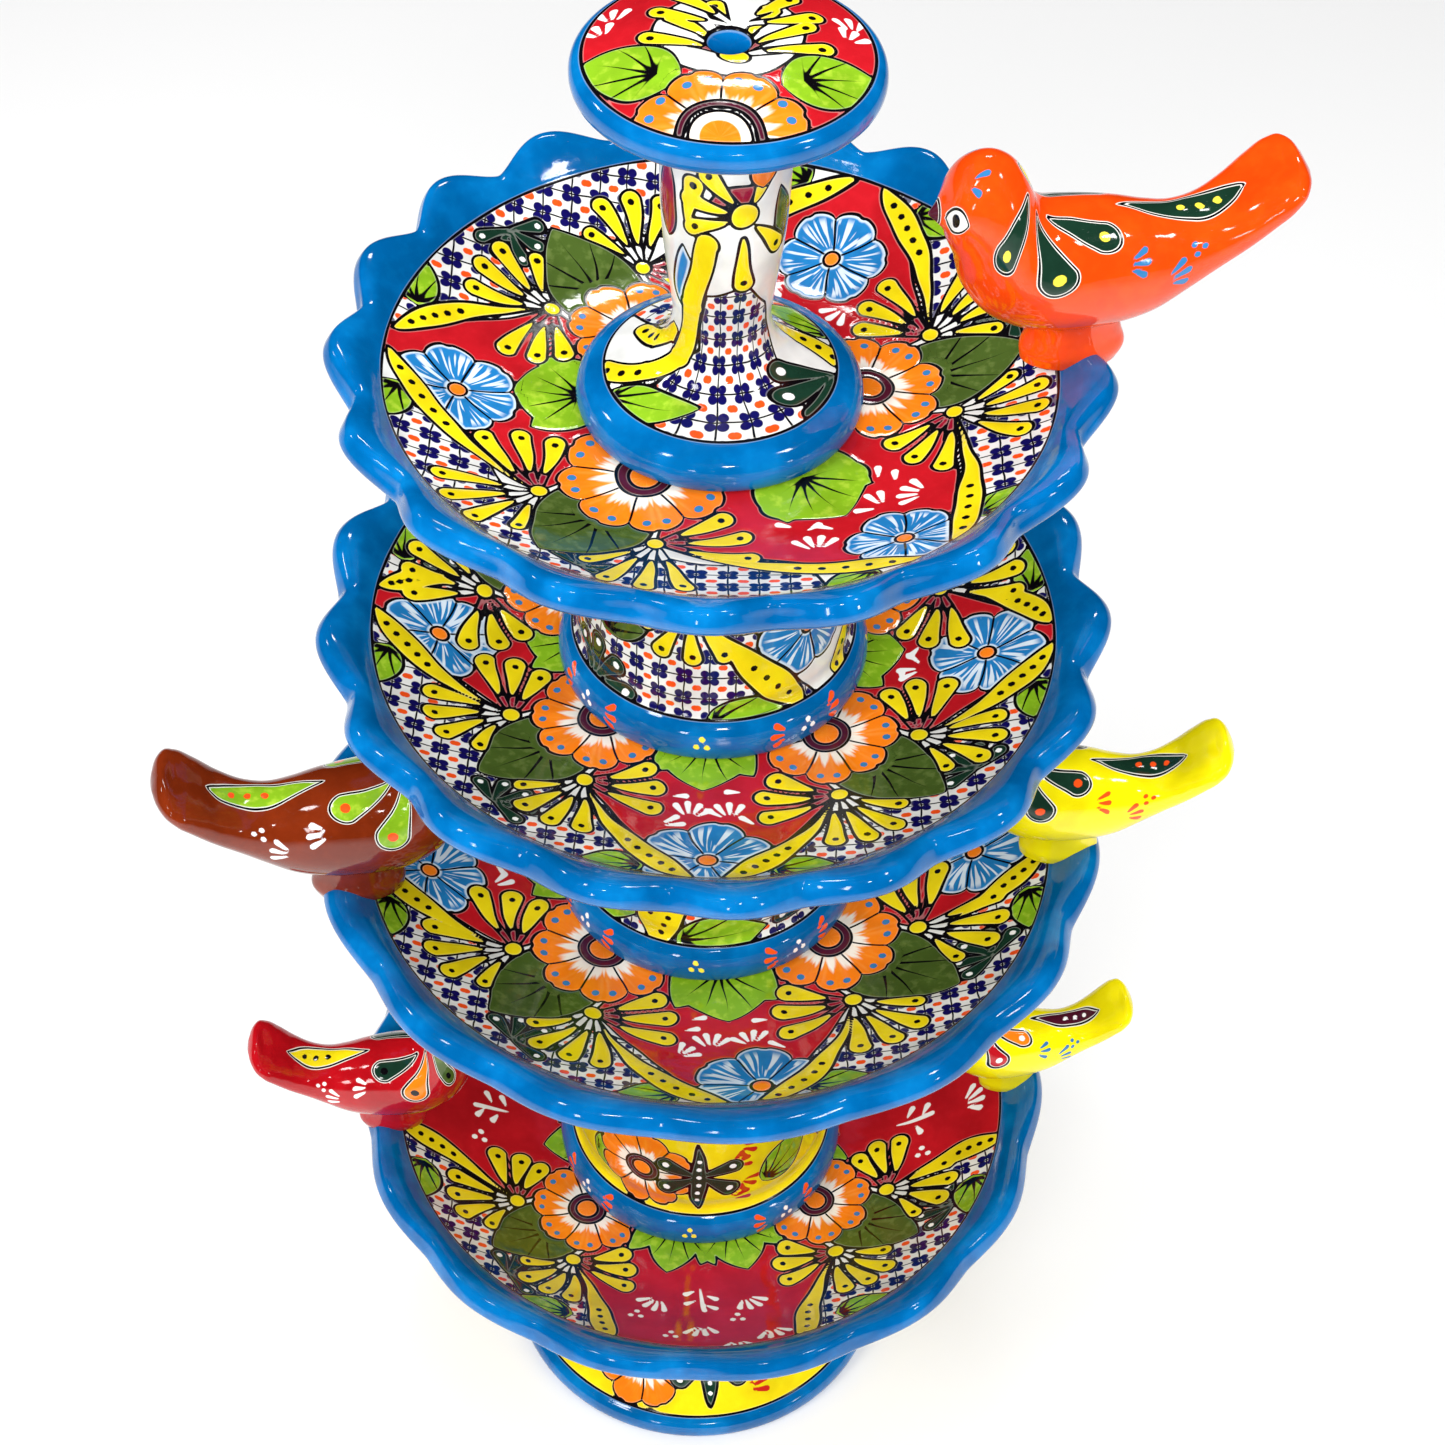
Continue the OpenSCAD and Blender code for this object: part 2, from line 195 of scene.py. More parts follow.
def store_map(mesh, sheet, corners, quad_count, count):
    """Pattern map in metres. Where the grid closes, a face's low corners go one
    lap on, so the map doesn't run backwards across the seam."""
    u, v, lap = sheet
    flat = np.zeros((count, 2))
    flat[:u.size] = np.stack([u.ravel(), v.ravel()], -1)
    at = flat[corners]
    if lap:
        faces = at[:quad_count * 4].reshape(-1, 4, 2)
        low = faces[:, :, 0].max(1, keepdims=True) - faces[:, :, 0] > 0.5 * lap
        faces[:, :, 0] += lap * low
    layer = mesh.uv_layers.new(name="Pattern")
    layer.data.foreach_set("uv", (at * MM).ravel())


def store_paint(mesh, paint, count):
    """One number per point for every glaze and mark, and the flower offsets."""
    for glaze, field in paint.fields.items():
        values = np.full(count, FAR, np.float32)
        values[:field.size] = field
        if count > field.size:
            values[field.size:] = field[-1]
        mesh.attributes.new(glaze, "FLOAT", "POINT").data.foreach_set("value", values)
    heart = np.zeros((count, 3), np.float32)
    heart[:len(paint.heart)] = paint.heart
    mesh.attributes.new("heart", "FLOAT_VECTOR", "POINT").data.foreach_set("vector", heart.ravel())

# %% [markdown]
# ## Painting with distances
# The decorator draws black outlines with a greasy line and floods coloured
# glaze between them. Each colour is kept as a field over the surface: the
# signed distance in millimetres to the edge of that colour, negative inside.
# Laying a new shape over the old ones is then one rule: its own colour takes
# the smaller distance, and every other colour is cut back by it. The shader
# later turns a distance near zero into the black line, and a distance below
# zero into glaze, so the edges stay crisp at any size.

# %% The painter
FAR = 25.0
GLAZES = ["red", "check", "crimson", "yellow", "orange", "sky", "lime", "olive",
          "dark", "maroon", "chalk", "chalk_over", "rim", "under", "clay"]
MARKS = ["black", "coral", "white", "blue", "lemon", "red_mark"]


class Painter:
    """Fields over one piece. Flat pieces are placed by x and y; pieces that go
    round an axis by an angle in degrees and a length along the outline."""

    def __init__(self, x, y, radius=None, seed=0.0):
        self.x, self.y = x.ravel(), y.ravel()
        self.radius = None if radius is None else radius.ravel()
        self.fields = {g: np.full(self.x.size, FAR, np.float32) for g in GLAZES + MARKS}
        self.heart = np.zeros((self.x.size, 3), np.float32)
        self.turn = 0.0
        # an unsteady hand: two slow waves move the drawing by under a millimetre
        a = self.x * (1 if radius is None else 60) / 19
        b = self.y / 16
        self.shake_x = 0.55*np.sin(b*1.7 + a*0.6 + seed) + 0.4*np.sin(b*3.1 - a*1.3 + 2*seed)
        self.shake_y = 0.55*np.sin(a*1.9 - b*0.5 + 3*seed) + 0.4*np.sin(a*2.7 + b*1.6 + seed)

    def offset(self, place):
        """Millimetres from the place to every point, across and along."""
        if self.radius is None:
            return self.x - place[0] + self.shake_x, self.y - place[1] + self.shake_y
        turn = np.mod(self.x - math.radians(place[0] + self.turn) + math.pi, 2*math.pi) - math.pi
        return turn * self.radius + self.shake_x, self.y - place[1] + self.shake_y

    def local(self, place, angle, reach):
        """Points within reach, and their coordinates along and across the angle."""
        dx, dy = self.offset(place)
        near = np.flatnonzero((np.abs(dx) < reach) & (np.abs(dy) < reach))
        dx, dy = dx[near], dy[near]
        c, s = math.cos(math.radians(angle)), math.sin(math.radians(angle))
        return near, dx*c + dy*s, dy*c - dx*s

    def between(self, start, end, around=90.0):
        """Angle and length from one place to another."""
        dx, dy = end[0] - start[0], end[1] - start[1]
        if self.radius is not None:
            dx = math.radians(dx) * around
        return math.degrees(math.atan2(dy, dx)), math.hypot(dx, dy)

    def lay(self, glaze, near, edge):
        """Laying a shape over the rest: own = min(own, edge), others = max(others, -edge)."""
        for name, field in self.fields.items():
            if name == glaze:
                field[near] = np.minimum(field[near], edge)
            else:
                field[near] = np.maximum(field[near], -edge)

    def mark(self, colour, near, edge, only=None):
        """A brush mark without an outline. With only, it is left off where it
        would run out of that glaze."""
        if only and (edge < 0).any() and self.fields[only][near][edge < 0.5].max() > -1.2:
            return
        self.fields[colour][near] = np.minimum(self.fields[colour][near], edge)

    def hold(self, near, edge, u, v, size):
        """Keeps the offset from a flower's or leaf's root, for its strokes."""
        inside = edge < 5
        self.heart[near[inside]] = np.stack([u, v, np.full(u.size, size)], -1)[inside]

# %% Brush shapes
def disc(u, v, r):
    """Distance to a circle: how far from the centre, less the radius."""
    return np.hypot(u, v) - r


def drop(u, v, length, fat, thin=1.0, bend=0.0):
    """A drop: distance to a bowed line, less a width that grows from thin to fat."""
    run = max(length - fat, 0.1)
    t = np.clip(u / run, 0, 1)
    return np.hypot(u - t*run, v - bend*t*t) - (thin + (fat - thin) * t**0.85)


def leaf(u, v, length, width, widest=0.75, bend=0.0):
    """A pointed leaf: half width = width x sin(pi t^widest)^0.8 along its length."""
    t = np.clip(u / length, 0, 1)
    v = v - bend * 4 * t * (1 - t)
    half = width * np.clip(np.sin(math.pi * t**widest), 0, 1)**0.8
    return np.where((u > 0) & (u < length), (np.abs(v) - half) * 0.86, np.hypot(u - t*length, v))


def bloom(u, v, size, petals):
    """A lobed disc: radius = size x (0.79 + 0.21 |sin(petals angle / 2)|^0.5),
    with a small notch in the middle of each petal."""
    lobe = np.abs(np.sin(petals * np.arctan2(v, u) / 2))
    notch = 0.028 * np.exp(-((1 - lobe) / 0.02)**2)
    return (np.hypot(u, v) - size * (0.79 + 0.21*lobe**0.5 - notch)) * 0.92


def straight_edges(u, v, corners):
    """Signed distance to an outline of straight edges: the nearest edge, with
    the sign from how often a level ray crosses the outline."""
    near = np.full(u.shape, 1e9)
    inside = np.zeros(u.shape, bool)
    for (ax, ay), (bx, by) in zip(corners, corners[1:] + corners[:1]):
        ex, ey = bx - ax, by - ay
        t = np.clip(((u-ax)*ex + (v-ay)*ey) / (ex*ex + ey*ey + 1e-9), 0, 1)
        near = np.minimum(near, np.hypot(u - ax - t*ex, v - ay - t*ey))
        if ay != by:
            inside ^= ((v > ay) != (v > by)) & (u < ax + (v - ay) * ex / ey)
    return np.where(inside, -near, near)

# %% [markdown]
# ## The decorator's stock of motifs
# A Mexican pottery painter repeats a small stock of motifs: an eight-petalled
# orange flower, a blue flower, veined leaves, long yellow petals with black
# dots, and fans of yellow drops springing from a small yellow boss. Each is a
# short function here, so a bowl is described by where its motifs stand.

# %% Flowers and leaves
def orange_flower(p, place, angle, size, petals=8, ring=0.33, dots=True):
    """Petals, a maroon ring and an orange heart, with two blue dots a petal."""
    near, u, v = p.local(place, angle, size + 8)
    edge = bloom(u, v, size, petals)
    p.lay("orange", near, edge)
    p.hold(near, edge, u, v, size)
    p.lay("maroon", near, disc(u, v, size * ring))
    p.lay("orange", near, disc(u, v, size * ring * 0.58))
    if dots:
        for k in range(petals):
            for side in (-1, 1):
                a = math.radians(360 / petals * (k + 0.5) + side * 8)
                p.mark("blue", near, disc(u - 0.82*size*math.cos(a), v - 0.82*size*math.sin(a), 0.050*size))


def blue_flower(p, place, angle, size, petals=6):
    """Six blue petals round a small orange heart."""
    near, u, v = p.local(place, angle, size + 8)
    edge = bloom(u, v, size, petals)
    p.lay("sky", near, edge)
    p.hold(near, edge, u, v, size)
    p.lay("orange", near, disc(u, v, size * 0.15))


def veined_leaf(p, place, angle, length, width, glaze, root=0.0, widest=0.75):
    """A leaf whose veins spread from a point root millimetres up its stalk."""
    near, u, v = p.local(place, angle, length + 8)
    edge = leaf(u, v, length, width, widest)
    p.lay(glaze, near, edge)
    p.hold(near, edge, u - root, v, length - root)


def dotted_petal(p, start, end, width, dots=4, bend=0.0):
    """A long club of a petal, thin at the start, with a row of dots."""
    angle, length = p.between(start, end)
    near, u, v = p.local(start, angle, length + 8)
    p.lay("yellow", near, leaf(u, v, length, width, 2.1, bend) - 0.8)
    for k in range(dots):
        t = 0.92 - 0.42 * (k + 0.5) / dots
        p.mark("black", near, disc(u - t*length, v - bend*4*t*(1-t), 2.1))


def ribbon(p, places, half, dots=3, around=60.0):
    """A band of even width along a bent line: the nearest stretch, less half the width,
    with a row of dots near its start. A thin gap parts it from earlier shapes of its glaze."""
    field, near, u, v = None, *p.local(places[0], 0, 230)
    at = [(math.radians(x - places[0][0]) * around, y - places[0][1]) for x, y in places]
    real = p.radius[near] / around if p.radius is not None else 1.0
    u = u / real
    for (ax, ay), (bx, by) in zip(at, at[1:]):
        ex, ey = bx - ax, by - ay
        t = np.clip(((u-ax)*ex + (v-ay)*ey) / (ex*ex + ey*ey), 0, 1)
        stretch = np.hypot((u - ax - t*ex) * real, v - ay - t*ey) - half
        field = stretch if field is None else np.minimum(field, stretch)
    p.fields["yellow"][near] = np.maximum(p.fields["yellow"][near], 1.7 - field)
    p.lay("yellow", near, field)
    (ax, ay), (bx, by) = at[0], at[1]
    for k in range(dots):
        t = (k + 0.2) / dots * 1.2
        p.mark("black", near, np.hypot((u - ax - t*(bx-ax)) * real, v - ay - t*(by-ay)) - 2.2)


def single_drop(p, place, angle, length, fat, glaze="yellow", dot="black", bend=0.0, dot_size=0.34):
    """One drop with a dot in its round end."""
    near, u, v = p.local(place, angle, length + 8)
    p.lay(glaze, near, drop(u, v, length, fat, 1.0, bend))
    if dot:
        p.mark(dot, near, disc(u - (length - fat), v - bend, max(fat * dot_size, 1.5)))


def finger_drop(p, place, angle, length, fat, ground, bend=0.0, from_=0.34):
    """A pale or dark finger from the boss, carrying a yellow drop at its end."""
    near, u, v = p.local(place, angle, length + 8)
    start = from_ * length
    run = length - fat
    w = (start + 9) / run
    p.lay(ground, near, drop(u, v - bend*w*w*0.4, start + 9, 3.2, 1.4, bend*w*w*0.6))
    t = np.clip((u - start) / max(run - start, 1), 0, 1)
    w = start / run + (1 - start / run) * t
    p.lay("yellow", near, np.hypot(u - w*run, v - bend*w*w) - (1.2 + (fat - 1.2) * t**0.7))
    p.mark("black", near, disc(u - (run - 1), v - bend, 2.0))


def boss(p, place, size=6.4):
    """The yellow boss that a fan springs from."""
    near, u, v = p.local(place, 0, size + 8)
    p.lay("yellow", near, disc(u, v, size))


def spray(p, place, angle, count=5, length=27, fat=6.2, spread=150, glaze="dark", dot="white"):
    """Dark drops with a pale dot, spread like a hand."""
    for k in range(count):
        a = angle + spread * (k / (count - 1) - 0.5)
        single_drop(p, place, a, length * (1.12 - 0.2*abs(k/(count-1) - 0.5)), fat, glaze, dot)


def sprig(p, place, angle, size=1.0, strokes=4, colour="white", only=None):
    """A quick stem with strokes to one side, in one colour and with no outline."""
    near, u, v = p.local(place, angle, 34 * size)
    p.mark(colour, near, drop(u, v, 27*size, 1.9, 0.5, 3*size), only)
    for k in range(strokes):
        a = math.radians(58 if k % 2 else -58)
        du, dv = u - (2 + 5.6*k)*size, v - (4.6 if k % 2 else -4.0)*size
        p.mark(colour, near, drop(du*math.cos(a) + dv*math.sin(a), dv*math.cos(a) - du*math.sin(a),
                                  10*size, 2.1, 0.4), only)


def comb(p, place, angle, count=3, length=12, spread=66, colour="white", fat=2.1, only=None):
    """A few strokes side by side, thick at the far end."""
    for k in range(count):
        a = angle + (spread * (k / (count - 1) - 0.5) if count > 1 else 0)
        near, u, v = p.local(place, a, length + 14)
        p.mark(colour, near, drop(u - 6, v, length, fat, 0.5), only)


def three_dots(p, place, colour="white", size=2.0, gap=4.2, only=None):
    """Three finger-tip dots."""
    for k in range(3):
        near, u, v = p.local(place, 120*k + 90, 12)
        p.mark(colour, near, disc(u - gap, v, size), only)

print("motifs ready")

# %% [markdown]
# ## A ruffled bowl
# Each bowl is pressed over a mould and its rim is pinched by hand. Its outline
# runs over the floor, up the wall, round the rim and back underneath. The rim
# points carry a weight that says how much of the ruffle they take. The ruffle
# is a wave with broad crests and tight valleys, a little different at each
# crest, as thumbs leave it.

# %% Heights and bowls
def floor_under(node):
    """Height in millimetres of the floor that a piece stands on."""
    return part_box(node)[0].z / MM


FLOORS = {"basin_bowl": floor_under("riser_lower"), "bowl_lower": floor_under("riser_middle"),
          "bowl_middle": floor_under("riser_upper"), "bowl_top": floor_under("spout_column")}
print("floors", {k: round(v) for k, v in FLOORS.items()})

WALL = 12.0     # thickness of a bowl
BOWLS = {       # seat, inner line, depth, reach, boss, waves, crest angle, out, up
    "basin_bowl":  (110, 225, 61, 27, 57.5, 14, 0, 3.5, 3.15),
    "bowl_lower":  (107, 231, 47, 29, 52.5, 14, -5, 4.5, 4.05),
    "bowl_middle": (105, 215, 32, 28, 52.5, 17, -1, 7.0, 5.95),
    "bowl_top":    (100, 196, 32, 26, 52.5, 17, -92, 7.5, 6.0)}


def bowl_outline(seat, line, depth, reach, boss_r, hole):
    """Rows of radius, height and ruffle weight: floor, wall depth x s^1.7, rim, underside."""
    start = [[hole, 0, 0], [seat*0.6, 0, 0]] if hole else [[0.02, 0, 0], [seat*0.6, 0, 0]]
    wall = [[seat + (line-seat)*s, depth * s**1.7, 0] for s in (0.3, 0.55, 0.8, 1)]
    rim = [[line+6, depth+6, .2], [line+13, depth+11.2, .55], [line+21, depth+12, .85],
           [line+reach-2.5, depth+7.4, 1], [line+reach, depth+1, 1], [line+reach-3, depth-5, .95],
           [line+reach-11, depth-9, .7], [line+7, depth-13, .15]]
    under = [[seat + (line-seat)*s + WALL*0.55, depth * s**1.7 - WALL*0.95, 0] for s in (0.72, 0.4)]
    base = [[seat+4, -WALL, 0], [boss_r+0.5, -WALL, 0], [boss_r, -WALL-7, 0], [hole or 0.02, -WALL-7, 0]]
    return start + [[seat*0.8, 0, 0], [seat, 0, 0]] + wall + rim + under + base


def bowl_points(name, around=640):
    """The grid of a bowl and, for each line of it, the length along the outline."""
    seat, line, depth, reach, boss_r, waves, crest, out, up = BOWLS[name]
    hole = 0 if name == "basin_bowl" else 16
    outline = bowl_outline(seat, line, depth, reach, boss_r, hole)
    last = len(outline)
    steps = cut(outline, 1.9, 9.0, lambda i: 2 <= i <= 14)
    rows = smooth_line(outline, steps, corners=[0] + list(range(last-4, last)), closed=bool(hole))
    r, z, weight = rows[:, :1], rows[:, 1:2], rows[:, 2:3]
    turn = np.linspace(0, 2*math.pi, around, endpoint=False)[None, :]
    phase = waves * (turn - math.radians(crest)) + 0.22*np.sin(3*turn + waves) + 0.15*np.sin(5*turn + depth)
    size = 1 - 0.10 * (1 + np.sin(2*turn + line)) / 2 - 0.08 * (1 + np.sin(7*turn + seat)) / 2
    wave = size * (2*np.abs(np.cos(phase/2))**1.45 - 1)
    radius = r + out * wave * weight
    P = np.stack([radius*np.cos(turn), radius*np.sin(turn),
                  z + up * wave * weight + FLOORS[name] + 0*turn], -1)
    along = np.concatenate([[0], np.cumsum(np.hypot(*np.diff(rows[:, :2], axis=0).T))])[:, None]
    top_of_line = np.interp(line, rows[:sum(steps[:8]), 0], along[:sum(steps[:8]), 0])
    rim_end = along[sum(steps[:15]), 0]
    return P, along + 0*turn, top_of_line, rim_end

# %% [markdown]
# ## How a bowl is composed
# Big orange flowers stand round the foot of the drum. On both sides of each
# one a boss throws a fan of drops, and a long dotted petal runs from the boss
# to the rim. Between two flowers the ground is red, with a leaf at the ring and
# a blue flower at the rim. Outside each orange flower lies an olive leaf on a
# white ground, and the rim there is filled with a check of small flowers.

# %% Painting a bowl
def bosses(flower):
    """The two bosses of a flower: 1.05 radii and 9 mm from its middle, 39 degrees to each side."""
    x, y, size = flower
    out = math.degrees(math.atan2(y, x))
    far = size * 1.05 + 9
    return out, [(x + far*math.cos(math.radians(out + s*39)), y + far*math.sin(math.radians(out + s*39)))
                 for s in (-1, 1)]


def paint_bowl(p, line, flowers, gaps, check_from=0.74, red_drops=3):
    """flowers: x, y, size, going round; gaps: what stands between each flower and
    the next: where the long petals meet, a blue flower, leaves, and sprigs."""
    whole = np.arange(p.x.size)
    r = np.hypot(p.x, p.y)
    az = np.degrees(np.arctan2(p.y, p.x))
    k = len(flowers)
    scale = line / 231
    for i, flower in enumerate(flowers):
        out = bosses(flower)[0]
        away = np.abs((az - out + 180) % 360 - 180) - 150 / k
        inner = check_from*line - r + 5*np.sin(np.radians(az*7))
        p.lay("check", whole, np.maximum(inner, np.radians(away)*r))
    for i, gap in enumerate(gaps):
        a, b = flowers[i], flowers[(i + 1) % k]
        here, there = bosses(a)[1][1], bosses(b)[1][0]
        meet = gap["meet"]
        side = np.array([-meet[1], meet[0]]) / math.hypot(*meet) * gap.get("open", 6)
        far = np.array(meet) * 1.06
        near, u, v = p.local((0, 0), 0, 400)
        wedge = [(0, 0), here, tuple(far - side), tuple(far + side), there]
        p.lay("red", near, straight_edges(u, v, wedge))
    for i, flower in enumerate(flowers):
        out = bosses(flower)[0]
        at = (line*0.93*math.cos(math.radians(out+8)), line*0.93*math.sin(math.radians(out+8)))
        spray(p, at, out + 172, 5, 27*scale, 6*scale, 165)
        size = flower[2]
        length = min(size*2.12, line*0.93 - math.hypot(*flower[:2]))
        veined_leaf(p, flower[:2], out, length, size*0.66, "olive", root=size*0.9, widest=0.9)
    for i, gap in enumerate(gaps):
        meet = gap["meet"]
        toward = math.degrees(math.atan2(meet[1], meet[0]))
        for x, y, width in gap.get("leaves", []):
            angle, far = p.between((0, 0), (x, y))
            start = 0.55
            veined_leaf(p, (x*start, y*start), angle, far*(1-start), width, "lime",
                        root=far*0.12, widest=0.95)
            near, u, v = p.local((x*start, y*start), angle, far)
            for s in (-1, 1):
                lobe = leaf(u*0.8 + s*v*0.6 - far*0.06, v*0.8 - s*u*0.6, far*(1-start)*0.8, width*0.55)
                p.lay("lime", near, np.minimum(lobe, leaf(u, v, far*(1-start), width, 0.95)))
        if gap.get("flower"):
            x, y, size = gap["flower"]
            blue_flower(p, (x, y), toward + 20, size)
        for s in (-1, 1):
            edge = toward + s*(math.degrees(gap.get("open", 6)/line) + 13)
            stalk = math.radians(edge - s*4)
            start = (line*0.95*math.cos(stalk), line*0.95*math.sin(stalk))
            veined_leaf(p, start, edge + s*68, 46*scale, 15*scale, "lime", root=2)
    for i, gap in enumerate(gaps):
        a, b = flowers[i], flowers[(i + 1) % k]
        meet = gap["meet"]
        side = np.array([-meet[1], meet[0]]) / math.hypot(*meet) * (gap.get("open", 6) + 3)
        for hub, end, s in ((bosses(a)[1][1], np.array(meet) - side, -1),
                            (bosses(b)[1][0], np.array(meet) + side, 1)):
            dotted_petal(p, hub, tuple(end), 8.5*scale, 5, bend=s*gap.get("bow", 9))
    for i, flower in enumerate(flowers):
        out, hubs = bosses(flower)
        size = flower[2]
        for s, hub in zip((-1, 1), hubs):
            room = line*0.97 - math.hypot(*hub)
            for n, a in enumerate((-14, 56, 33, 10)):
                long = min(size*(0.98 if n == 0 else 1.22), room*1.15)
                finger_drop(p, hub, out + s*a, long, (6.0 if n == 0 else 7.6)*scale,
                            "chalk" if n % 2 else "chalk_over", bend=-s*5)
            for n in range(red_drops):
                finger_drop(p, hub, out + s*(101 + 27*n), size*(1.20 - 0.07*n), 7.8*scale,
                            "crimson", bend=s*(7 - 3*n))
    for i, flower in enumerate(flowers):
        out, hubs = bosses(flower)
        orange_flower(p, flower[:2], out + 22.5, flower[2])
        for hub in hubs:
            boss(p, hub, 6.4*scale)
    for i, gap in enumerate(gaps):
        for x, y, angle, kind in gap.get("sprigs", []):
            if kind == "sprig":
                sprig(p, (x, y), angle, 1.0, only="red")
            elif kind == "dots":
                three_dots(p, (x, y), only="red")
            else:
                comb(p, (x, y), angle, 4, 12, 84, only="red")


def red_sprigs(meet, flower, leaves):
    """White strokes round a gap's leaf and above its blue flower."""
    x, y = meet
    far = math.hypot(x, y)
    ux, uy = x/far, y/far
    toward = math.degrees(math.atan2(y, x))
    tip, width = leaves[0][:2], leaves[0][2]
    stop = math.hypot(flower[0], flower[1]) - flower[2]
    middle = (math.hypot(*tip) + stop) / 2
    spots = [(-8, width*0.95, 205, "sprig"), (-8, -width*0.95, 155, "sprig"),
             (stop - middle + 6, width*1.12, 215, "comb"), (stop - middle + 6, -width*1.12, 145, "comb"),
             (stop - middle - 2, width*0.42, 190, "comb"), (stop - middle - 2, -width*0.42, 170, "comb")]
    return [(ux*(middle + out) - uy*off, uy*(middle + out) + ux*off, toward + turn, kind)
            for out, off, turn, kind in spots]


def gap(meet, flower=None, leaves=(), **more):
    """One gap's description, with its white strokes."""
    strokes = more.pop("sprigs", None)
    return dict(meet=meet, flower=flower, leaves=list(leaves),
                sprigs=red_sprigs(meet, flower, leaves) if strokes is None else strokes, **more)


COMPOSITION = {
    "bowl_top": dict(
        flowers=[(-42, -68, 50), (87, 15, 45), (-50, 63, 43)],
        gaps=[gap((122, -154), (104, -132, 33), [(72, -98, 36)], bow=10),
              gap((90, 173), (66, 125, 34), [(50, 84, 24)]),
              gap((-192, 14), (-152, -10, 36), [(-122, 2, 30)])]),
    "bowl_middle": dict(
        flowers=[(-68, -62, 45), (72, -70, 45), (90, 58, 45), (-92, 50, 45)],
        gaps=[gap((0, -214), (0, -193, 42), [(-4, -120, 28)]),
              gap((214, -6), (173, -10, 37), [(122, 3, 28)]),
              gap((0, 214), (2, 176, 38), [(0, 120, 28)]),
              gap((-213, 10), (-172, -6, 37), [(-125, 12, 28)])]),
    "bowl_lower": dict(
        flowers=[(-68, -75, 49), (83, -60, 49), (72, 72, 48), (-70, 74, 48)],
        gaps=[gap((28, -231), (38, -208, 45), [(17, -135, 34)], bow=13),
              gap((229, -4), (182, 2, 38), [(136, -2, 30)]),
              gap((0, 231), (0, 188, 42), [(0, 134, 30)]),
              gap((-228, -26), (-187, -30, 38), [(-134, 2, 30)])]),
    "basin_bowl": dict(
        flowers=[(-82, -75, 42), (88, -62, 42), (80, 74, 41), (-84, 72, 41)],
        gaps=[gap((8, -228), None, [(-22, -130, 20), (38, -126, 22)], open=66, bow=-6, sprigs=[
                  (4, -146, -90, "sprig"), (-26, -158, -120, "comb"), (36, -154, -60, "comb"),
                  (5, -190, -90, "comb"), (-42, -182, 0, "dots"), (-16, -206, 0, "dots"),
                  (30, -182, 0, "dots"), (52, -196, -70, "comb"), (-62, -200, -115, "comb"),
                  (30, -212, -80, "comb")]),
              gap((226, 4), None, [(112, -24, 20), (112, 30, 20)], open=44, bow=-6, sprigs=[
                  (150, 0, 0, "sprig"), (168, -30, 0, "dots"), (172, 26, 0, "dots"), (196, 0, 10, "comb")]),
              gap((0, 226), None, [(-26, 120, 20), (28, 120, 20)], open=60, bow=-6, sprigs=[
                  (0, 150, 90, "sprig"), (-30, 176, 0, "dots"), (34, 172, 0, "dots"),
                  (4, 200, 90, "comb")]),
              gap((-226, 6), None, [(-118, -20, 20), (-112, 34, 20)], open=44, bow=-6, sprigs=[
                  (-146, 4, 180, "sprig"), (-166, -26, 0, "dots"), (-172, 34, 0, "dots"),
                  (-192, 4, 180, "comb")])]),
}


def make_bowl(name):
    """Grid, paint, rim and underside, made into one piece."""
    P, along, line_at, rim_end = bowl_points(name)
    line = BOWLS[name][1]
    p = Painter(P[..., 0], P[..., 1], seed=line)
    paint_bowl(p, line, **COMPOSITION[name])
    whole = np.arange(p.x.size)
    s = along.ravel()
    p.lay("rim", whole, np.maximum(line_at - 1 - s, s - rim_end))
    # the underside below the rim: olive glaze darkened as painted shade, with a mottle that is partly
    # painted reflection
    p.lay("under", whole, rim_end - s)
    piece = skin(name + "_glazed", P, loop=name != "basin_bowl", paint=p, sheet=(P[..., 0], P[..., 1], 0))
    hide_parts(name)
    return piece


BODIES = {"basin_bowl": "basin", "bowl_lower": "bowl_three", "bowl_middle": "bowl_two",
          "bowl_top": "bowl_one"}
bowls = {}
for name in BODIES:
    bowls[name] = make_bowl(name)
    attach(bowls[name], BODIES[name])

# %% [markdown]
# ## Drums, foot and spout
# These pieces are thrown on a wheel, so an outline carried round the axis
# gives them. The outline goes up the outside and down the inside, as the
# hollow casting does. Their painting wraps round, so a motif is placed by its
# angle and its height, and the shape is drawn at true size on the curve.

# %% Turned pieces
def turned(outline, corners, z, around, fine, coarse, outside, way=None):
    """Carries an outline round the axis. Returns the grid, the angle, the
    length up the outside and the outline rows. way: half width and height of an
    arched opening at the back of the foot, made by lifting the lowest points."""
    steps = cut(outline, fine, coarse, outside)
    rows = smooth_line(outline, steps, corners=corners, closed=True)
    turn = np.linspace(0, 2*math.pi, around, endpoint=False)[None, :]
    r, h = rows[:, :1] + 0*turn, rows[:, 1:2] + 0*turn
    if way:
        half, crown = way
        x = r * np.cos(turn)
        arch = crown - half + np.sqrt(np.clip(half**2 - x**2, 0, None))
        lift = np.where((np.abs(x) < half) & (np.sin(turn) > 0), arch, 0)
        h = np.where(h < 44, lift + h*(44 - lift)/44, h)
    P = np.stack([r*np.cos(turn), r*np.sin(turn), z + h], -1)
    along = np.concatenate([[0], np.cumsum(np.hypot(*np.diff(rows[:, :2], axis=0).T))])
    return P, turn + 0*r, along, rows, steps


def wrapped_painter(P, turn, along, rows, seed):
    """A painter whose second coordinate is the height along the outside."""
    radius = np.hypot(P[..., 0], P[..., 1])
    return Painter(turn, along[:, None] + 0*turn, radius, seed)


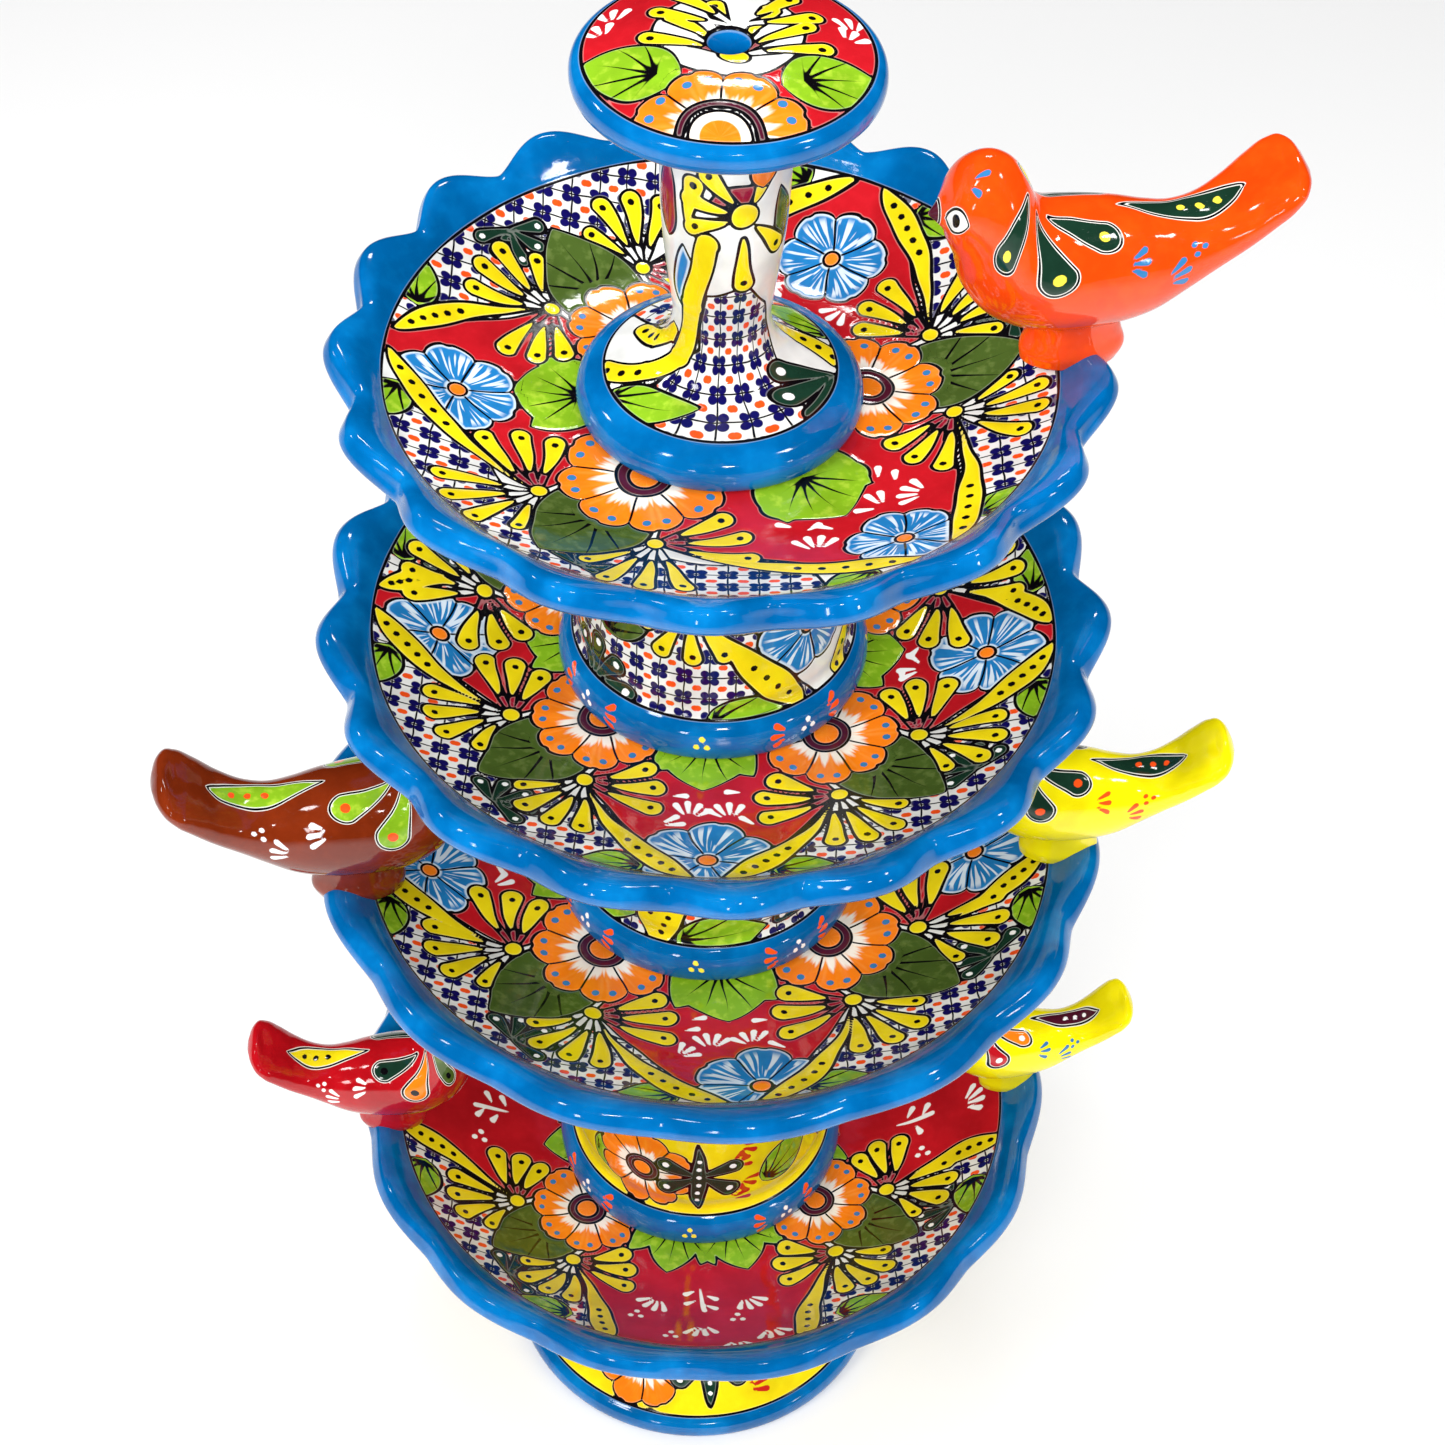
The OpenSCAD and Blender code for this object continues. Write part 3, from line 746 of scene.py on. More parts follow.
def ring_marks(p, height, step=45, first=-142):
    """The foot ring's quick marks: white and yellow dots, coral stroke fans."""
    for k in range(8):
        a = first + step*k
        if k % 2 == 0:
            three_dots(p, (a, height), "white", 1.9, 3.8)
            comb(p, (a + 7, height), 0, 3, 9, 70, "coral", 2.2)
            comb(p, (a - 7, height), 180, 3, 9, 70, "coral", 2.2)
        else:
            three_dots(p, (a + 4, height), "lemon", 1.9, 3.8)


def drum_outline(h, ring, top):
    """Foot ring, a wall that tapers to the top, the flat top with its opening, and the inside."""
    up = [[ring-12, 0], [ring-5, 0], [ring-2, 2.5], [ring-0.4, 7], [ring, 12], [ring-0.8, 18],
          [ring-3.5, 24], [ring-8, 28.5]]
    wall = bend_line([ring-10.5, 31], [ring-12, 60], [top+3, h*0.6], [top, h-12], 7)
    lid = [[top+1, h-3], [top, h], [55, h], [55, h-10], [top-9, h-14]]
    inside = bend_line([top-9, h-20], [top-6, h*0.6], [ring-21, 60], [ring-19.5, 34], 5)
    return up + wall + lid + inside + [[ring-12, 12]]


def paint_drum_upper(p):
    """Check all round, with flowers, sprays and dotted petals."""
    whole = np.arange(p.x.size)
    p.lay("check", whole, np.full(whole.size, -FAR))
    for p.turn in (0, 180):
        near, u, v = p.local((-60, 100), 0, 62)
        corners = [(-70, 40), (-20, 12), (30, -70), (60, -70), (60, 60), (-70, 60)]
        p.lay("chalk", near, straight_edges(u, v, corners))
        veined_leaf(p, (-140, 84), 75, 62, 26, "olive", root=2)
        veined_leaf(p, (-92, 38), 8, 62, 17, "lime", root=3)
        spray(p, (-146, 38), 50, 5, 34, 7.5, 150)
        blue_flower(p, (-47, 100), 100, 37)
        near, u, v = p.local((-78, 138), 0, 40)
        p.lay("red", near, leaf(u - 2, v + 4, 46, 9))
        dotted_petal(p, (-101, 130), (-52, 40), 10.5, 4)
        dotted_petal(p, (-12, 84), (-30, 38), 8.5, 3)
        for a, far in ((-142, 40), (-112, 47), (-84, 46), (-58, 50), (-8, 48), (12, 44)):
            finger_drop(p, (-101, 130), a, far, 6.2, "chalk" if a % 4 else "chalk_over")
        boss(p, (-101, 130), 8)
        for a, far in ((-160, 40), (150, 38), (110, 36)):
            finger_drop(p, (-12, 130), a, far, 5.8, "crimson")
        boss(p, (-12, 130), 7)
        dotted_petal(p, (-120, 178), (-60, 168), 8, 4)
        veined_leaf(p, (-160, 160), 10, 44, 14, "lime", root=3)
    p.turn = 0


def paint_drum_middle(p):
    """Yellow dotted petals crossing over leaves and check."""
    whole = np.arange(p.x.size)
    p.lay("check", whole, np.full(whole.size, -FAR))
    for p.turn in (0, 180):
        veined_leaf(p, (-158, 52), 5, 62, 20, "lime", root=3)
        veined_leaf(p, (-102, 44), 8, 62, 20, "lime", root=3)
        spray(p, (-40, 52), 90, 5, 34, 7.5, 160)
        orange_flower(p, (-65, 120), 0, 42)
        blue_flower(p, (-150, 118), 20, 36)
        veined_leaf(p, (-60, 152), 60, 54, 18, "olive", root=5)
        for a, far in ((-30, 46), (0, 46), (30, 46), (60, 44)):
            finger_drop(p, (-112, 128), a, far, 6, "chalk" if a % 4 else "chalk_over")
        dotted_petal(p, (-124, 118), (-108, 36), 9.5, 4)
        dotted_petal(p, (-90, 112), (-110, 36), 9.5, 4, bend=-5)
        boss(p, (-112, 128), 7.5)
    p.turn = 0


def folk_panel(p, az, h, big=40):
    """Left to right: a salmon flower between leaves, a dark dotted stem with drops, and
    crimson strokes on yellow."""
    veined_leaf(p, (az - 52, h - 22), 50, 62, 18, "lime", root=4)
    orange_flower(p, (az - 26, h), 10, big, dots=False)
    veined_leaf(p, (az + 30, h - 16), 40, 54, 18, "lime", root=3)
    for n, row in enumerate((-26, -6, 14, 34)):
        comb(p, (az + 13 + 4*(n % 2), h + row), 20 - 50*(n % 2), 3, 13, 60, "red_mark", 2.4)
    for a, far in ((160, 34), (20, 34), (215, 36), (-35, 36)):
        single_drop(p, (az, h + 4), a, far, 7.5, "dark", "white")
    near, u, v = p.local((az, h - 36), 90, 90)
    p.lay("dark", near, leaf(u, v, 78, 6.5, 0.8))
    for n in range(6):
        p.mark("white", near, disc(u - 12 - 9*n, v, 1.9))


def paint_drum_lower(p):
    """Panels of flowers and dotted drops on yellow, one above the other."""
    whole = np.arange(p.x.size)
    p.lay("yellow", whole, np.full(whole.size, -FAR))
    for n, h in enumerate((82, 168, 252)):
        for k in range(3):
            folk_panel(p, -90 + 120*k + 60*(n % 2), h)


def foot_ring(p, top):
    """The band of blue round the foot, up to the height top."""
    whole = np.arange(p.x.size)
    p.lay("rim", whole, (p.y - top).astype(np.float32))


DRUMS = {   # outline sizes, body, arched way, painting
    "riser_upper":  (198, 98, 77, "drum_upper", None, paint_drum_upper),
    "riser_middle": (202, 103, 80, "drum_middle", None, paint_drum_middle),
    "riser_lower":  (300, 106, 84, "drum_lower", (15, 27), paint_drum_lower)}


def finish_turned(name, body, P, turn, p, rows, along, steps, outside_end, cells):
    """Bare clay inside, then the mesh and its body."""
    whole = np.arange(p.x.size)
    end = along[sum(steps[:outside_end])]
    p.lay("clay", whole, np.minimum(end - p.y, np.maximum(p.y - 5, -FAR)) if outside_end else end - p.y)
    lap = CELL * cells
    sheet = (turn / (2*math.pi) * lap, along[:, None] + 0*turn, lap)
    piece = skin(name + "_glazed", P, True, p, sheet)
    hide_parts(name)
    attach(piece, body)
    return piece


for name, (h, ring, top, body, way, paint) in DRUMS.items():
    outline = drum_outline(h, ring, top)
    P, turn, along, rows, steps = turned(outline, [0, 1, 17, 18, 19], floor_under(name), 384, 2.1, 9.0,
                                         lambda i: i < 17, way)
    p = wrapped_painter(P, turn, along, rows, h)
    paint(p)
    foot_ring(p, 41)
    ring_marks(p, 25)
    finish_turned(name, body, P, turn, p, rows, along, steps, 18, 34)

# %% Foot
def paint_foot(p):
    """A wide painted cone over a dark band."""
    whole = np.arange(p.x.size)
    p.lay("yellow", whole, np.full(whole.size, -FAR))
    for n, h in enumerate((78, 166)):
        for k in range(3):
            folk_panel(p, -84 + 120*k + 60*n, h, 42)


foot_line = ([[130, 0], [142, 0], [145, 2], [146, 6], [145.5, 11], [143, 15]]
             + bend_line([139, 17], [122, 36], [102, 66], [103, 120], 8)
             + [[105, 150], [111, 176], [118, 190], [118, 196], [60, 196], [60, 184], [99, 180], [91, 150],
                [91, 116], [100, 64], [130, 12]])
P, turn, along, rows, steps = turned(foot_line, [0, 1, 18, 19, 20], 0.0, 400, 2.4, 9.0, lambda i: i < 18)
p = wrapped_painter(P, turn, along, rows, 3)
paint_foot(p)
foot_ring(p, 36)
finish_turned("base_pedestal", "foot", P, turn, p, rows, along, steps, 19, 36)

# %% [markdown]
# ## Spout
# The waisted column flares into a foot ring below and a mushroom cap above,
# with the water hole in the middle of the cap. Its shaft is painted like a
# drum. The cap is nearly flat, so it is painted like a small plate, seen from
# above, and the two paintings meet at the blue edge of the cap.

# %% Spout column
def paint_shaft(p, at):
    """White ground with check, leaves, a long dotted petal and drops. at(h) turns a
    height into a length along the outline. What stands only in front is under not p.turn."""
    whole = np.arange(p.x.size)
    p.lay("chalk", whole, np.full(whole.size, -FAR))
    for p.turn in (0, 180):
        near, u, v = p.local((-85, at(60)), 0, 90)
        corners = [(-80, -58), (56, -58), (38, -20), (24, 30), (10, 50), (-12, 42), (-16, 0), (-44, -30)]
        p.lay("check", near, straight_edges(u, v, corners))
        veined_leaf(p, (-158, at(25)), 28, 54, 15, "lime", root=3)
        if not p.turn:
            spray(p, (-6, at(28)), 172, 4, 40, 8.5, 100)
        veined_leaf(p, (-22, at(128)), 100, 44, 9, "olive", root=3)
        near, u, v = p.local((-150, at(135)), 90, 60)
        p.lay("crimson", near, leaf(u, v, 54, 9))
        near, u, v = p.local((-132, at(84)), 88, 60)
        p.lay("sky", near, leaf(u, v, 52, 9))
        if not p.turn:
            ribbon(p, [(-206, at(34)), (-184, at(44)), (-160, at(60))], 6.6, 3)
        ribbon(p, [(-174, at(27)), (-158, at(35)), (-138, at(50)), (-124, at(90)), (-104, at(140))], 7.2, 3)
        near, u, v = p.local((-104, at(168)), 20, 40)
        p.lay("crimson", near, leaf(u, v, 36, 7))
        for a, far in ((-88, 56), (-50, 44), (128, 40), (165, 38), (60, 36), (200, 36)):
            finger_drop(p, (-73, at(161)), a, far, 6.2, "chalk_over" if far % 4 else "chalk", from_=0.28)
        single_drop(p, (-124, at(150)), 84, 36, 7)
        near, u, v = p.local((-56, at(178)), 80, 40)
        p.lay("orange", near, leaf(u, v, 26, 9))
        boss(p, (-73, at(161)), 8.5)
    p.turn = 0


def paint_cap(p):
    """A half flower at the front of the plate, leaves at its sides, and drops round the water hole."""
    near, u, v = p.local((0, 0), 0, 120)
    p.lay("red", near, disc(u, v, 90))
    near, u, v = p.local((0, 8), 0, 120)
    p.lay("chalk", near, disc(u, v, 40))
    for a in (155, 128, 100, 72, 44, 18):
        finger_drop(p, (3, -14), a, 54, 6, "crimson" if a in (128, 44, 155) else "chalk_over",
                    bend=4 if a > 90 else -4)
    for a in (200, 228, -20, -48):
        finger_drop(p, (3, 12), a + 180, 50, 6, "chalk")
    veined_leaf(p, (-26, -34), 158, 56, 22, "lime", root=12)
    veined_leaf(p, (28, -36), 18, 54, 21, "lime", root=12)
    veined_leaf(p, (0, 40), 90, 40, 18, "olive", root=4)
    for x, y, a in ((62, 6, 70), (66, 18, 100), (-62, 20, 90), (-66, 6, 110), (30, 62, 40), (-34, 60, 130)):
        comb(p, (x, y), a, 3, 11, 60)
    near, u, v = p.local((-3, -74), 90, 60)
    edge = bloom(u, v, 48, 8)
    p.lay("orange", near, edge)
    p.hold(near, edge, u, v, 52)
    p.lay("maroon", near, disc(u, v, 24))
    p.lay("chalk", near, disc(u, v, 19.5))
    p.lay("orange", near, disc(u, v, 17))
    for a in (20, 38, 62, 78, 102, 118, 142, 160):
        a = math.radians(a - 90)
        p.mark("blue", near, disc(u - 39*math.cos(a), v - 39*math.sin(a), 2.5))
    near, u, v = p.local((3, -15), 0, 20)
    p.lay("yellow", near, np.hypot(u/8.4, v/6.2)*7 - 7)
    near, u, v = p.local((0, 0), 0, 120)
    p.lay("rim", near, 78 - np.hypot(p.x[near], p.y[near]))
    p.lay("rim", near, np.hypot(p.x[near], p.y[near]) - 12.5)


c, h, cap = 84, 250, 85
column_line = ([[c-14, 0], [c-5, 0], [c-1.6, 3], [c, 8.5], [c-0.8, 14], [c-3.5, 19], [c-8, 23]]
               + bend_line([c-10, 24], [c-30, 34], [32, 34], [28.5, 64], 9)
               + bend_line([29.5, 84], [33, 110], [37, 135], [36.5, h-62], 5)
               + [[36.5, h-50], [41, h-40], [52, h-33.5], [cap-12, h-29.5], [cap-5, h-28.5], [cap-1.2, h-25],
                  [cap, h-19.5], [cap-1.4, h-14], [cap-6, h-10.5]]
               + bend_line([cap-8, h-10], [cap-30, h-3.4], [40, h-0.4], [15.8, h-0.4], 6)
               + [[12.3, h-1], [10.8, h-3.5], [10.8, 62]]
               + bend_line([16.8, 52], [24, 30], [c-34, 24], [c-20, 16], 5) + [[c-15, 8]])
P, turn, along, rows, steps = turned(column_line, [0, 1], FLOORS["bowl_top"], 360, 1.65, 8.0,
                                     lambda i: i < 40)
shaft = wrapped_painter(P, turn, along, rows, 5)
outer = slice(0, sum(steps[:24]))
paint_shaft(shaft, lambda height: float(np.interp(height, rows[outer, 1], along[outer])))
foot_ring(shaft, 46)
plate = Painter(P[..., 0], P[..., 1], seed=8)
paint_cap(plate)
is_plate = along[:, None] + 0*turn > along[sum(steps[:28])]
is_plate = is_plate.ravel()
for glaze, field in shaft.fields.items():
    field[is_plate] = plate.fields[glaze][is_plate]
shaft.heart[is_plate] = plate.heart[is_plate]
whole = np.arange(shaft.x.size)
edge_in, edge_out = along[sum(steps[:25])], along[sum(steps[:30])]
shaft.lay("rim", whole, np.maximum(edge_in - shaft.y, shaft.y - edge_out - 3))
finish_turned("spout_column", "spout", P, turn, shaft, rows, along, steps, 41, 18)

# %% [markdown]
# ## Birds
# The birds are cast hollow in a two-part mould. Each is a stack of rings from
# beak to tail. A ring is an oval leaning between a point on the back and a
# point under the belly, so the neck can bend and the tail can lift. Curves
# through the chosen rings give the smooth clay body, and a short saddle below
# holds the bird on the rim.

# %% Bird body and saddle
BIRD_RINGS = [  # back x, back height, belly x, belly height, half width
    [-103, 97, -103, 95, 1.2], [-99, 103, -99, 91, 4.5], [-95, 110, -95, 87, 11], [-91, 119, -93, 81, 17],
    [-85, 127, -90, 74, 21.5], [-77, 132, -87, 67, 24], [-68, 133, -85, 59, 26], [-59, 129, -83, 51, 28],
    [-51, 120, -79, 43, 30], [-46, 110, -73, 34, 32], [-42, 101, -64, 26, 34], [-35, 96, -50, 19, 36],
    [-23, 94.5, -32, 15, 37], [-8, 93.5, -12, 14, 36], [8, 91.5, 10, 16, 33.5], [24, 88, 30, 22, 30],
    [40, 86, 48, 35, 27], [55, 89, 64, 50, 27], [69, 97, 79, 65, 29], [82, 108, 92, 80, 31],
    [93, 116, 102, 92, 31], [100, 119, 108, 100, 27], [105, 118, 111, 105, 19], [109, 114, 112, 109, 8]]
SADDLE_RINGS = [   # middle, half length, half width, height
    [-13, 30, 24, 32], [-12, 26, 19, 20], [-11, 28, 18, 6], [-11, 31, 19, -5], [-12, 29, 17, -13]]


def perch(P, r, az, z, yaw, s):
    """Scales, turns by yaw, moves out to r and up to z, then turns to the azimuth."""
    P = P * s
    for angle, shift in ((yaw, (r, 0)), (az, (0, 0))):
        c, w = math.cos(math.radians(angle)), math.sin(math.radians(angle))
        P = np.stack([c*P[..., 0] - w*P[..., 1] + shift[0], w*P[..., 0] + c*P[..., 1], P[..., 2]], -1)
    return P + np.array([0, 0, z])


def bird_body(around=112, lines=170):
    """Middle + half vector x cos(angle) in the upright plane, width x sin(angle) across,
    with a shallow hollow down the top of the tail and a soft swelling at the wings."""
    rings = np.array(BIRD_RINGS, float)
    spans = np.hypot(*np.diff(rings[:, :2], axis=0).T) + np.hypot(*np.diff(rings[:, 2:4], axis=0).T)
    steps = [max(3, round(lines * s / spans.sum())) for s in spans]
    rows = smooth_line(rings, steps)
    a = np.linspace(0, 2*math.pi, around, endpoint=False)[None, :]
    ix, iz, ox, oz, width = (rows[:, k:k+1] for k in range(5))
    back = np.concatenate([[0], np.cumsum(np.hypot(np.diff(rows[:, 0]), np.diff(rows[:, 1])))])[:, None]
    x = (ix + ox)/2 + (ix - ox)/2 * np.cos(a)
    z = (iz + oz)/2 + (iz - oz)/2 * np.cos(a)
    y = np.clip(width, 0, None) * np.sin(a)
    tail = np.clip((ix - 46) / 26, 0, 1) * np.clip((104 - ix) / 6, 0, 1)
    z = z - 5.5 * tail * np.clip(np.cos(a), 0, 1)**2 * (1 - np.abs(np.sin(a))**1.5)
    radius = np.sqrt(((ix-ox)**2 + (iz-oz)**2)/4 + width**2) / math.sqrt(2) + 0*a
    return np.stack([x, y, z], -1), a + 0*x, back + 0*a, radius


def bird_saddle(around=64):
    """A stack of level ovals, wider where it grips the rim."""
    rows = smooth_line([[q[3], q[0], q[1], q[2]] for q in SADDLE_RINGS], [8]*4)
    a = np.linspace(0, 2*math.pi, around, endpoint=False)[None, :]
    z, x0, rx, ry = (rows[:, k:k+1] for k in range(4))
    return np.stack([x0 + rx*np.cos(a), ry*np.sin(a), z + 0*a], -1)


BEAK, CROWN, NECK, RUMP, TAIL = 6, 34, 66, 150, 226    # lengths along the back from the beak
BIRDS = {   # bowl, radius, azimuth, height over its floor, yaw, size, then the colours of the
            # drops, their dots, the tail stripe, its dots, the strokes and the boss on the back
    "bird_orange": ("bowl_top", 214, 4, 46, 6, 1.0,
                    ["dark"]*3, "lemon", "dark", "lemon", "blue", "yellow"),
    "bird_brown": ("bowl_lower", 249, 195, 60, -3, 1.0,
                   ["lime"]*3, "coral", "lime", "coral", "white", "yellow"),
    "bird_yellow": ("bowl_lower", 245, -4, 60, 5, 0.85,
                    ["dark"]*3, "coral", "dark", "coral", "coral", "yellow"),
    "bird_red": ("basin_bowl", 239, 190, 73, -3, 0.8,
                 ["olive", "orange", "dark"], "black", "yellow", "black", "white", "yellow"),
    "bird_small_yellow": ("basin_bowl", 237, 2, 73, 6, 0.7,
                          ["dark", "red", "orange"], "white", "maroon", "white", "blue", "orange")}
GLAZED_SIZE = 0.998     # the painted bird keeps just inside the solid one


def paint_bird(p, scale, drops, dots, stripe, stripe_dots, strokes, middle):
    """A fan of drops from the back of the neck over each wing, a dotted stripe
    down the tail, an eye on each side and quick strokes on crown and flank."""
    k = scale
    for side in (-1, 1):
        for n, glaze in enumerate(drops):
            a = 90 - side*(96 - 38*n)
            across, back = math.cos(math.radians(a)), math.sin(math.radians(a))
            root = (side*13 + 15*across, (NECK + 14 + 12*back + 6*n)*k)
            single_drop(p, (root[0], root[1]), a, (46 - 2*n)*k, 9.5*k, glaze, dots, dot_size=0.32)
        near, u, v = p.local((side*84, (CROWN-9)*k), 90, 24*k)
        p.lay("chalk", near, leaf(u + 12*k, v, 25*k, 7.6*k, 1.0))
        p.mark("black", near, disc(u, v, 4.2*k))
        comb(p, (side*60, (RUMP-6)*k), 90, 3, 10*k, 60, strokes, 2.0*k)
        comb(p, (side*84, (RUMP+16)*k), 90, 3, 10*k, 60, strokes, 2.0*k)
        comb(p, (side*30, CROWN*k), 90 - side*20, 2, 9*k, 50, strokes, 2.0*k)
        three_dots(p, (side*62, (TAIL-38)*k), strokes, 1.7*k, 3.6*k)
    near, u, v = p.local((0, (RUMP-4)*k), 90, 90*k)
    p.lay(stripe, near, leaf(u, v, 78*k, 9.5*k, 1.25))
    for n in range(3):
        p.mark(stripe_dots, near, disc(u - (38 + 11*n)*k, v, 2.3*k))
    near, u, v = p.local((0, (NECK+12)*k), 90, 20*k)
    p.lay(middle, near, np.hypot(u/9, v/6)*7*k - 7*k)
    whole = np.arange(p.x.size)
    p.lay("maroon", whole, p.y - BEAK*1.5*k)


bird_objects = {}
for name, (bowl, r, az, rise, yaw, s, *colours) in BIRDS.items():
    z = FLOORS[bowl] + rise
    B, a, back, radius = bird_body()
    p = Painter(a, back*s, radius*s, seed=r)
    paint_bird(p, s, *colours)
    lap = CELL * 12
    bird = skin(name + "_glazed", perch(B, r, az, z, yaw, s * GLAZED_SIZE), False, p,
                (a/(2*math.pi)*lap, back*s, lap))
    grip = bird_saddle()
    unpainted = np.zeros(grip.shape[:2])
    saddle = skin(name + "_saddle", perch(grip, r, az, z, yaw, s), False, Painter(unpainted, unpainted))
    for piece in (bird, saddle):
        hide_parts(name)
        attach(piece, BODIES[bowl])
    bird_objects[name] = (bird, saddle)

# %% [markdown]
# ## The painted glaze
# All the fired pieces share one recipe, kept as a node group: the distance
# fields pick the colour, a distance near zero is the black line, and a little
# further in the glaze swells into a soft bead. Brush streaks, pooled edges and
# pinholes come from noise. The group gives colour, roughness and height; each
# material feeds them to its own shader and bump.

# %% Laying out nodes
class Bench:
    """Adds nodes to a tree and joins them: a socket given as a value is linked."""

    def __init__(self, tree):
        self.tree, self.count = tree, 0

    def add(self, kind, inputs=None, **settings):
        node = self.tree.nodes.new(kind)
        node.location = (230 * (self.count // 9), -190 * (self.count % 9))
        self.count += 1
        for key, value in settings.items():
            setattr(node, key, value)
        for key, value in (inputs or {}).items():
            if isinstance(value, bpy.types.NodeSocket):
                self.tree.links.new(value, node.inputs[key])
            else:
                node.inputs[key].default_value = value
        return node

    def math(self, how, a, b=0.0, c=0.0, clamp=False):
        return self.add("ShaderNodeMath", {0: a, 1: b, 2: c}, operation=how, use_clamp=clamp).outputs[0]

    def vector(self, how, a, b=(0, 0, 0), scale=1.0):
        node = self.add("ShaderNodeVectorMath", {0: a, 1: b, 3: scale}, operation=how)
        return node.outputs["Value" if how in ("LENGTH", "DOT_PRODUCT") else "Vector"]

    def fade(self, value, zero_at, one_at):
        """0 to 1 as the value goes from zero_at to one_at, smoothly."""
        return self.add("ShaderNodeMapRange", {0: value, 1: zero_at, 2: one_at, 3: 0.0, 4: 1.0},
                        interpolation_type="SMOOTHSTEP", clamp=True).outputs[0]

    def tint(self, amount, under, over, how="MIX"):
        return self.add("ShaderNodeMix", {0: amount, 6: under, 7: over}, data_type="RGBA",
                        blend_type=how, clamp_factor=True).outputs[2]

    def field(self, name):
        return self.add("ShaderNodeAttribute", attribute_name=name, attribute_type="GEOMETRY")

    def noise(self, where, scale, detail=2.0, rough=0.5):
        return self.add("ShaderNodeTexNoise", {"Vector": where, "Scale": scale, "Detail": detail,
                                               "Roughness": rough}).outputs[0]


def colour(r, g, b):
    """A paint colour given as 0 to 255 on screen, made linear for the shader."""
    linear = [c/255/12.92 if c/255 <= 0.04045 else ((c/255 + 0.055)/1.055)**2.4 for c in (r, g, b)]
    return (*linear, 1.0)


PAINT = {
    "red": colour(188, 24, 34), "crimson": colour(150, 18, 44), "yellow": colour(240, 216, 20),
    "orange": colour(250, 128, 22), "sky": colour(34, 122, 188), "lime": colour(132, 180, 32),
    "olive": colour(70, 92, 36), "dark": colour(22, 52, 38), "maroon": colour(78, 20, 40),
    "chalk": colour(228, 229, 226), "chalk_over": colour(228, 229, 226), "rim": colour(0, 96, 162),
    # the underside's olive is darkened as painted shade under the rim
    "under": colour(96, 88, 48), "clay": colour(176, 102, 66),
    "black": colour(10, 8, 12), "coral": colour(244, 82, 26), "white": colour(244, 244, 244),
    "blue": colour(52, 118, 172), "lemon": colour(244, 226, 70), "red_mark": colour(188, 36, 24),
    "navy": colour(18, 14, 84)}


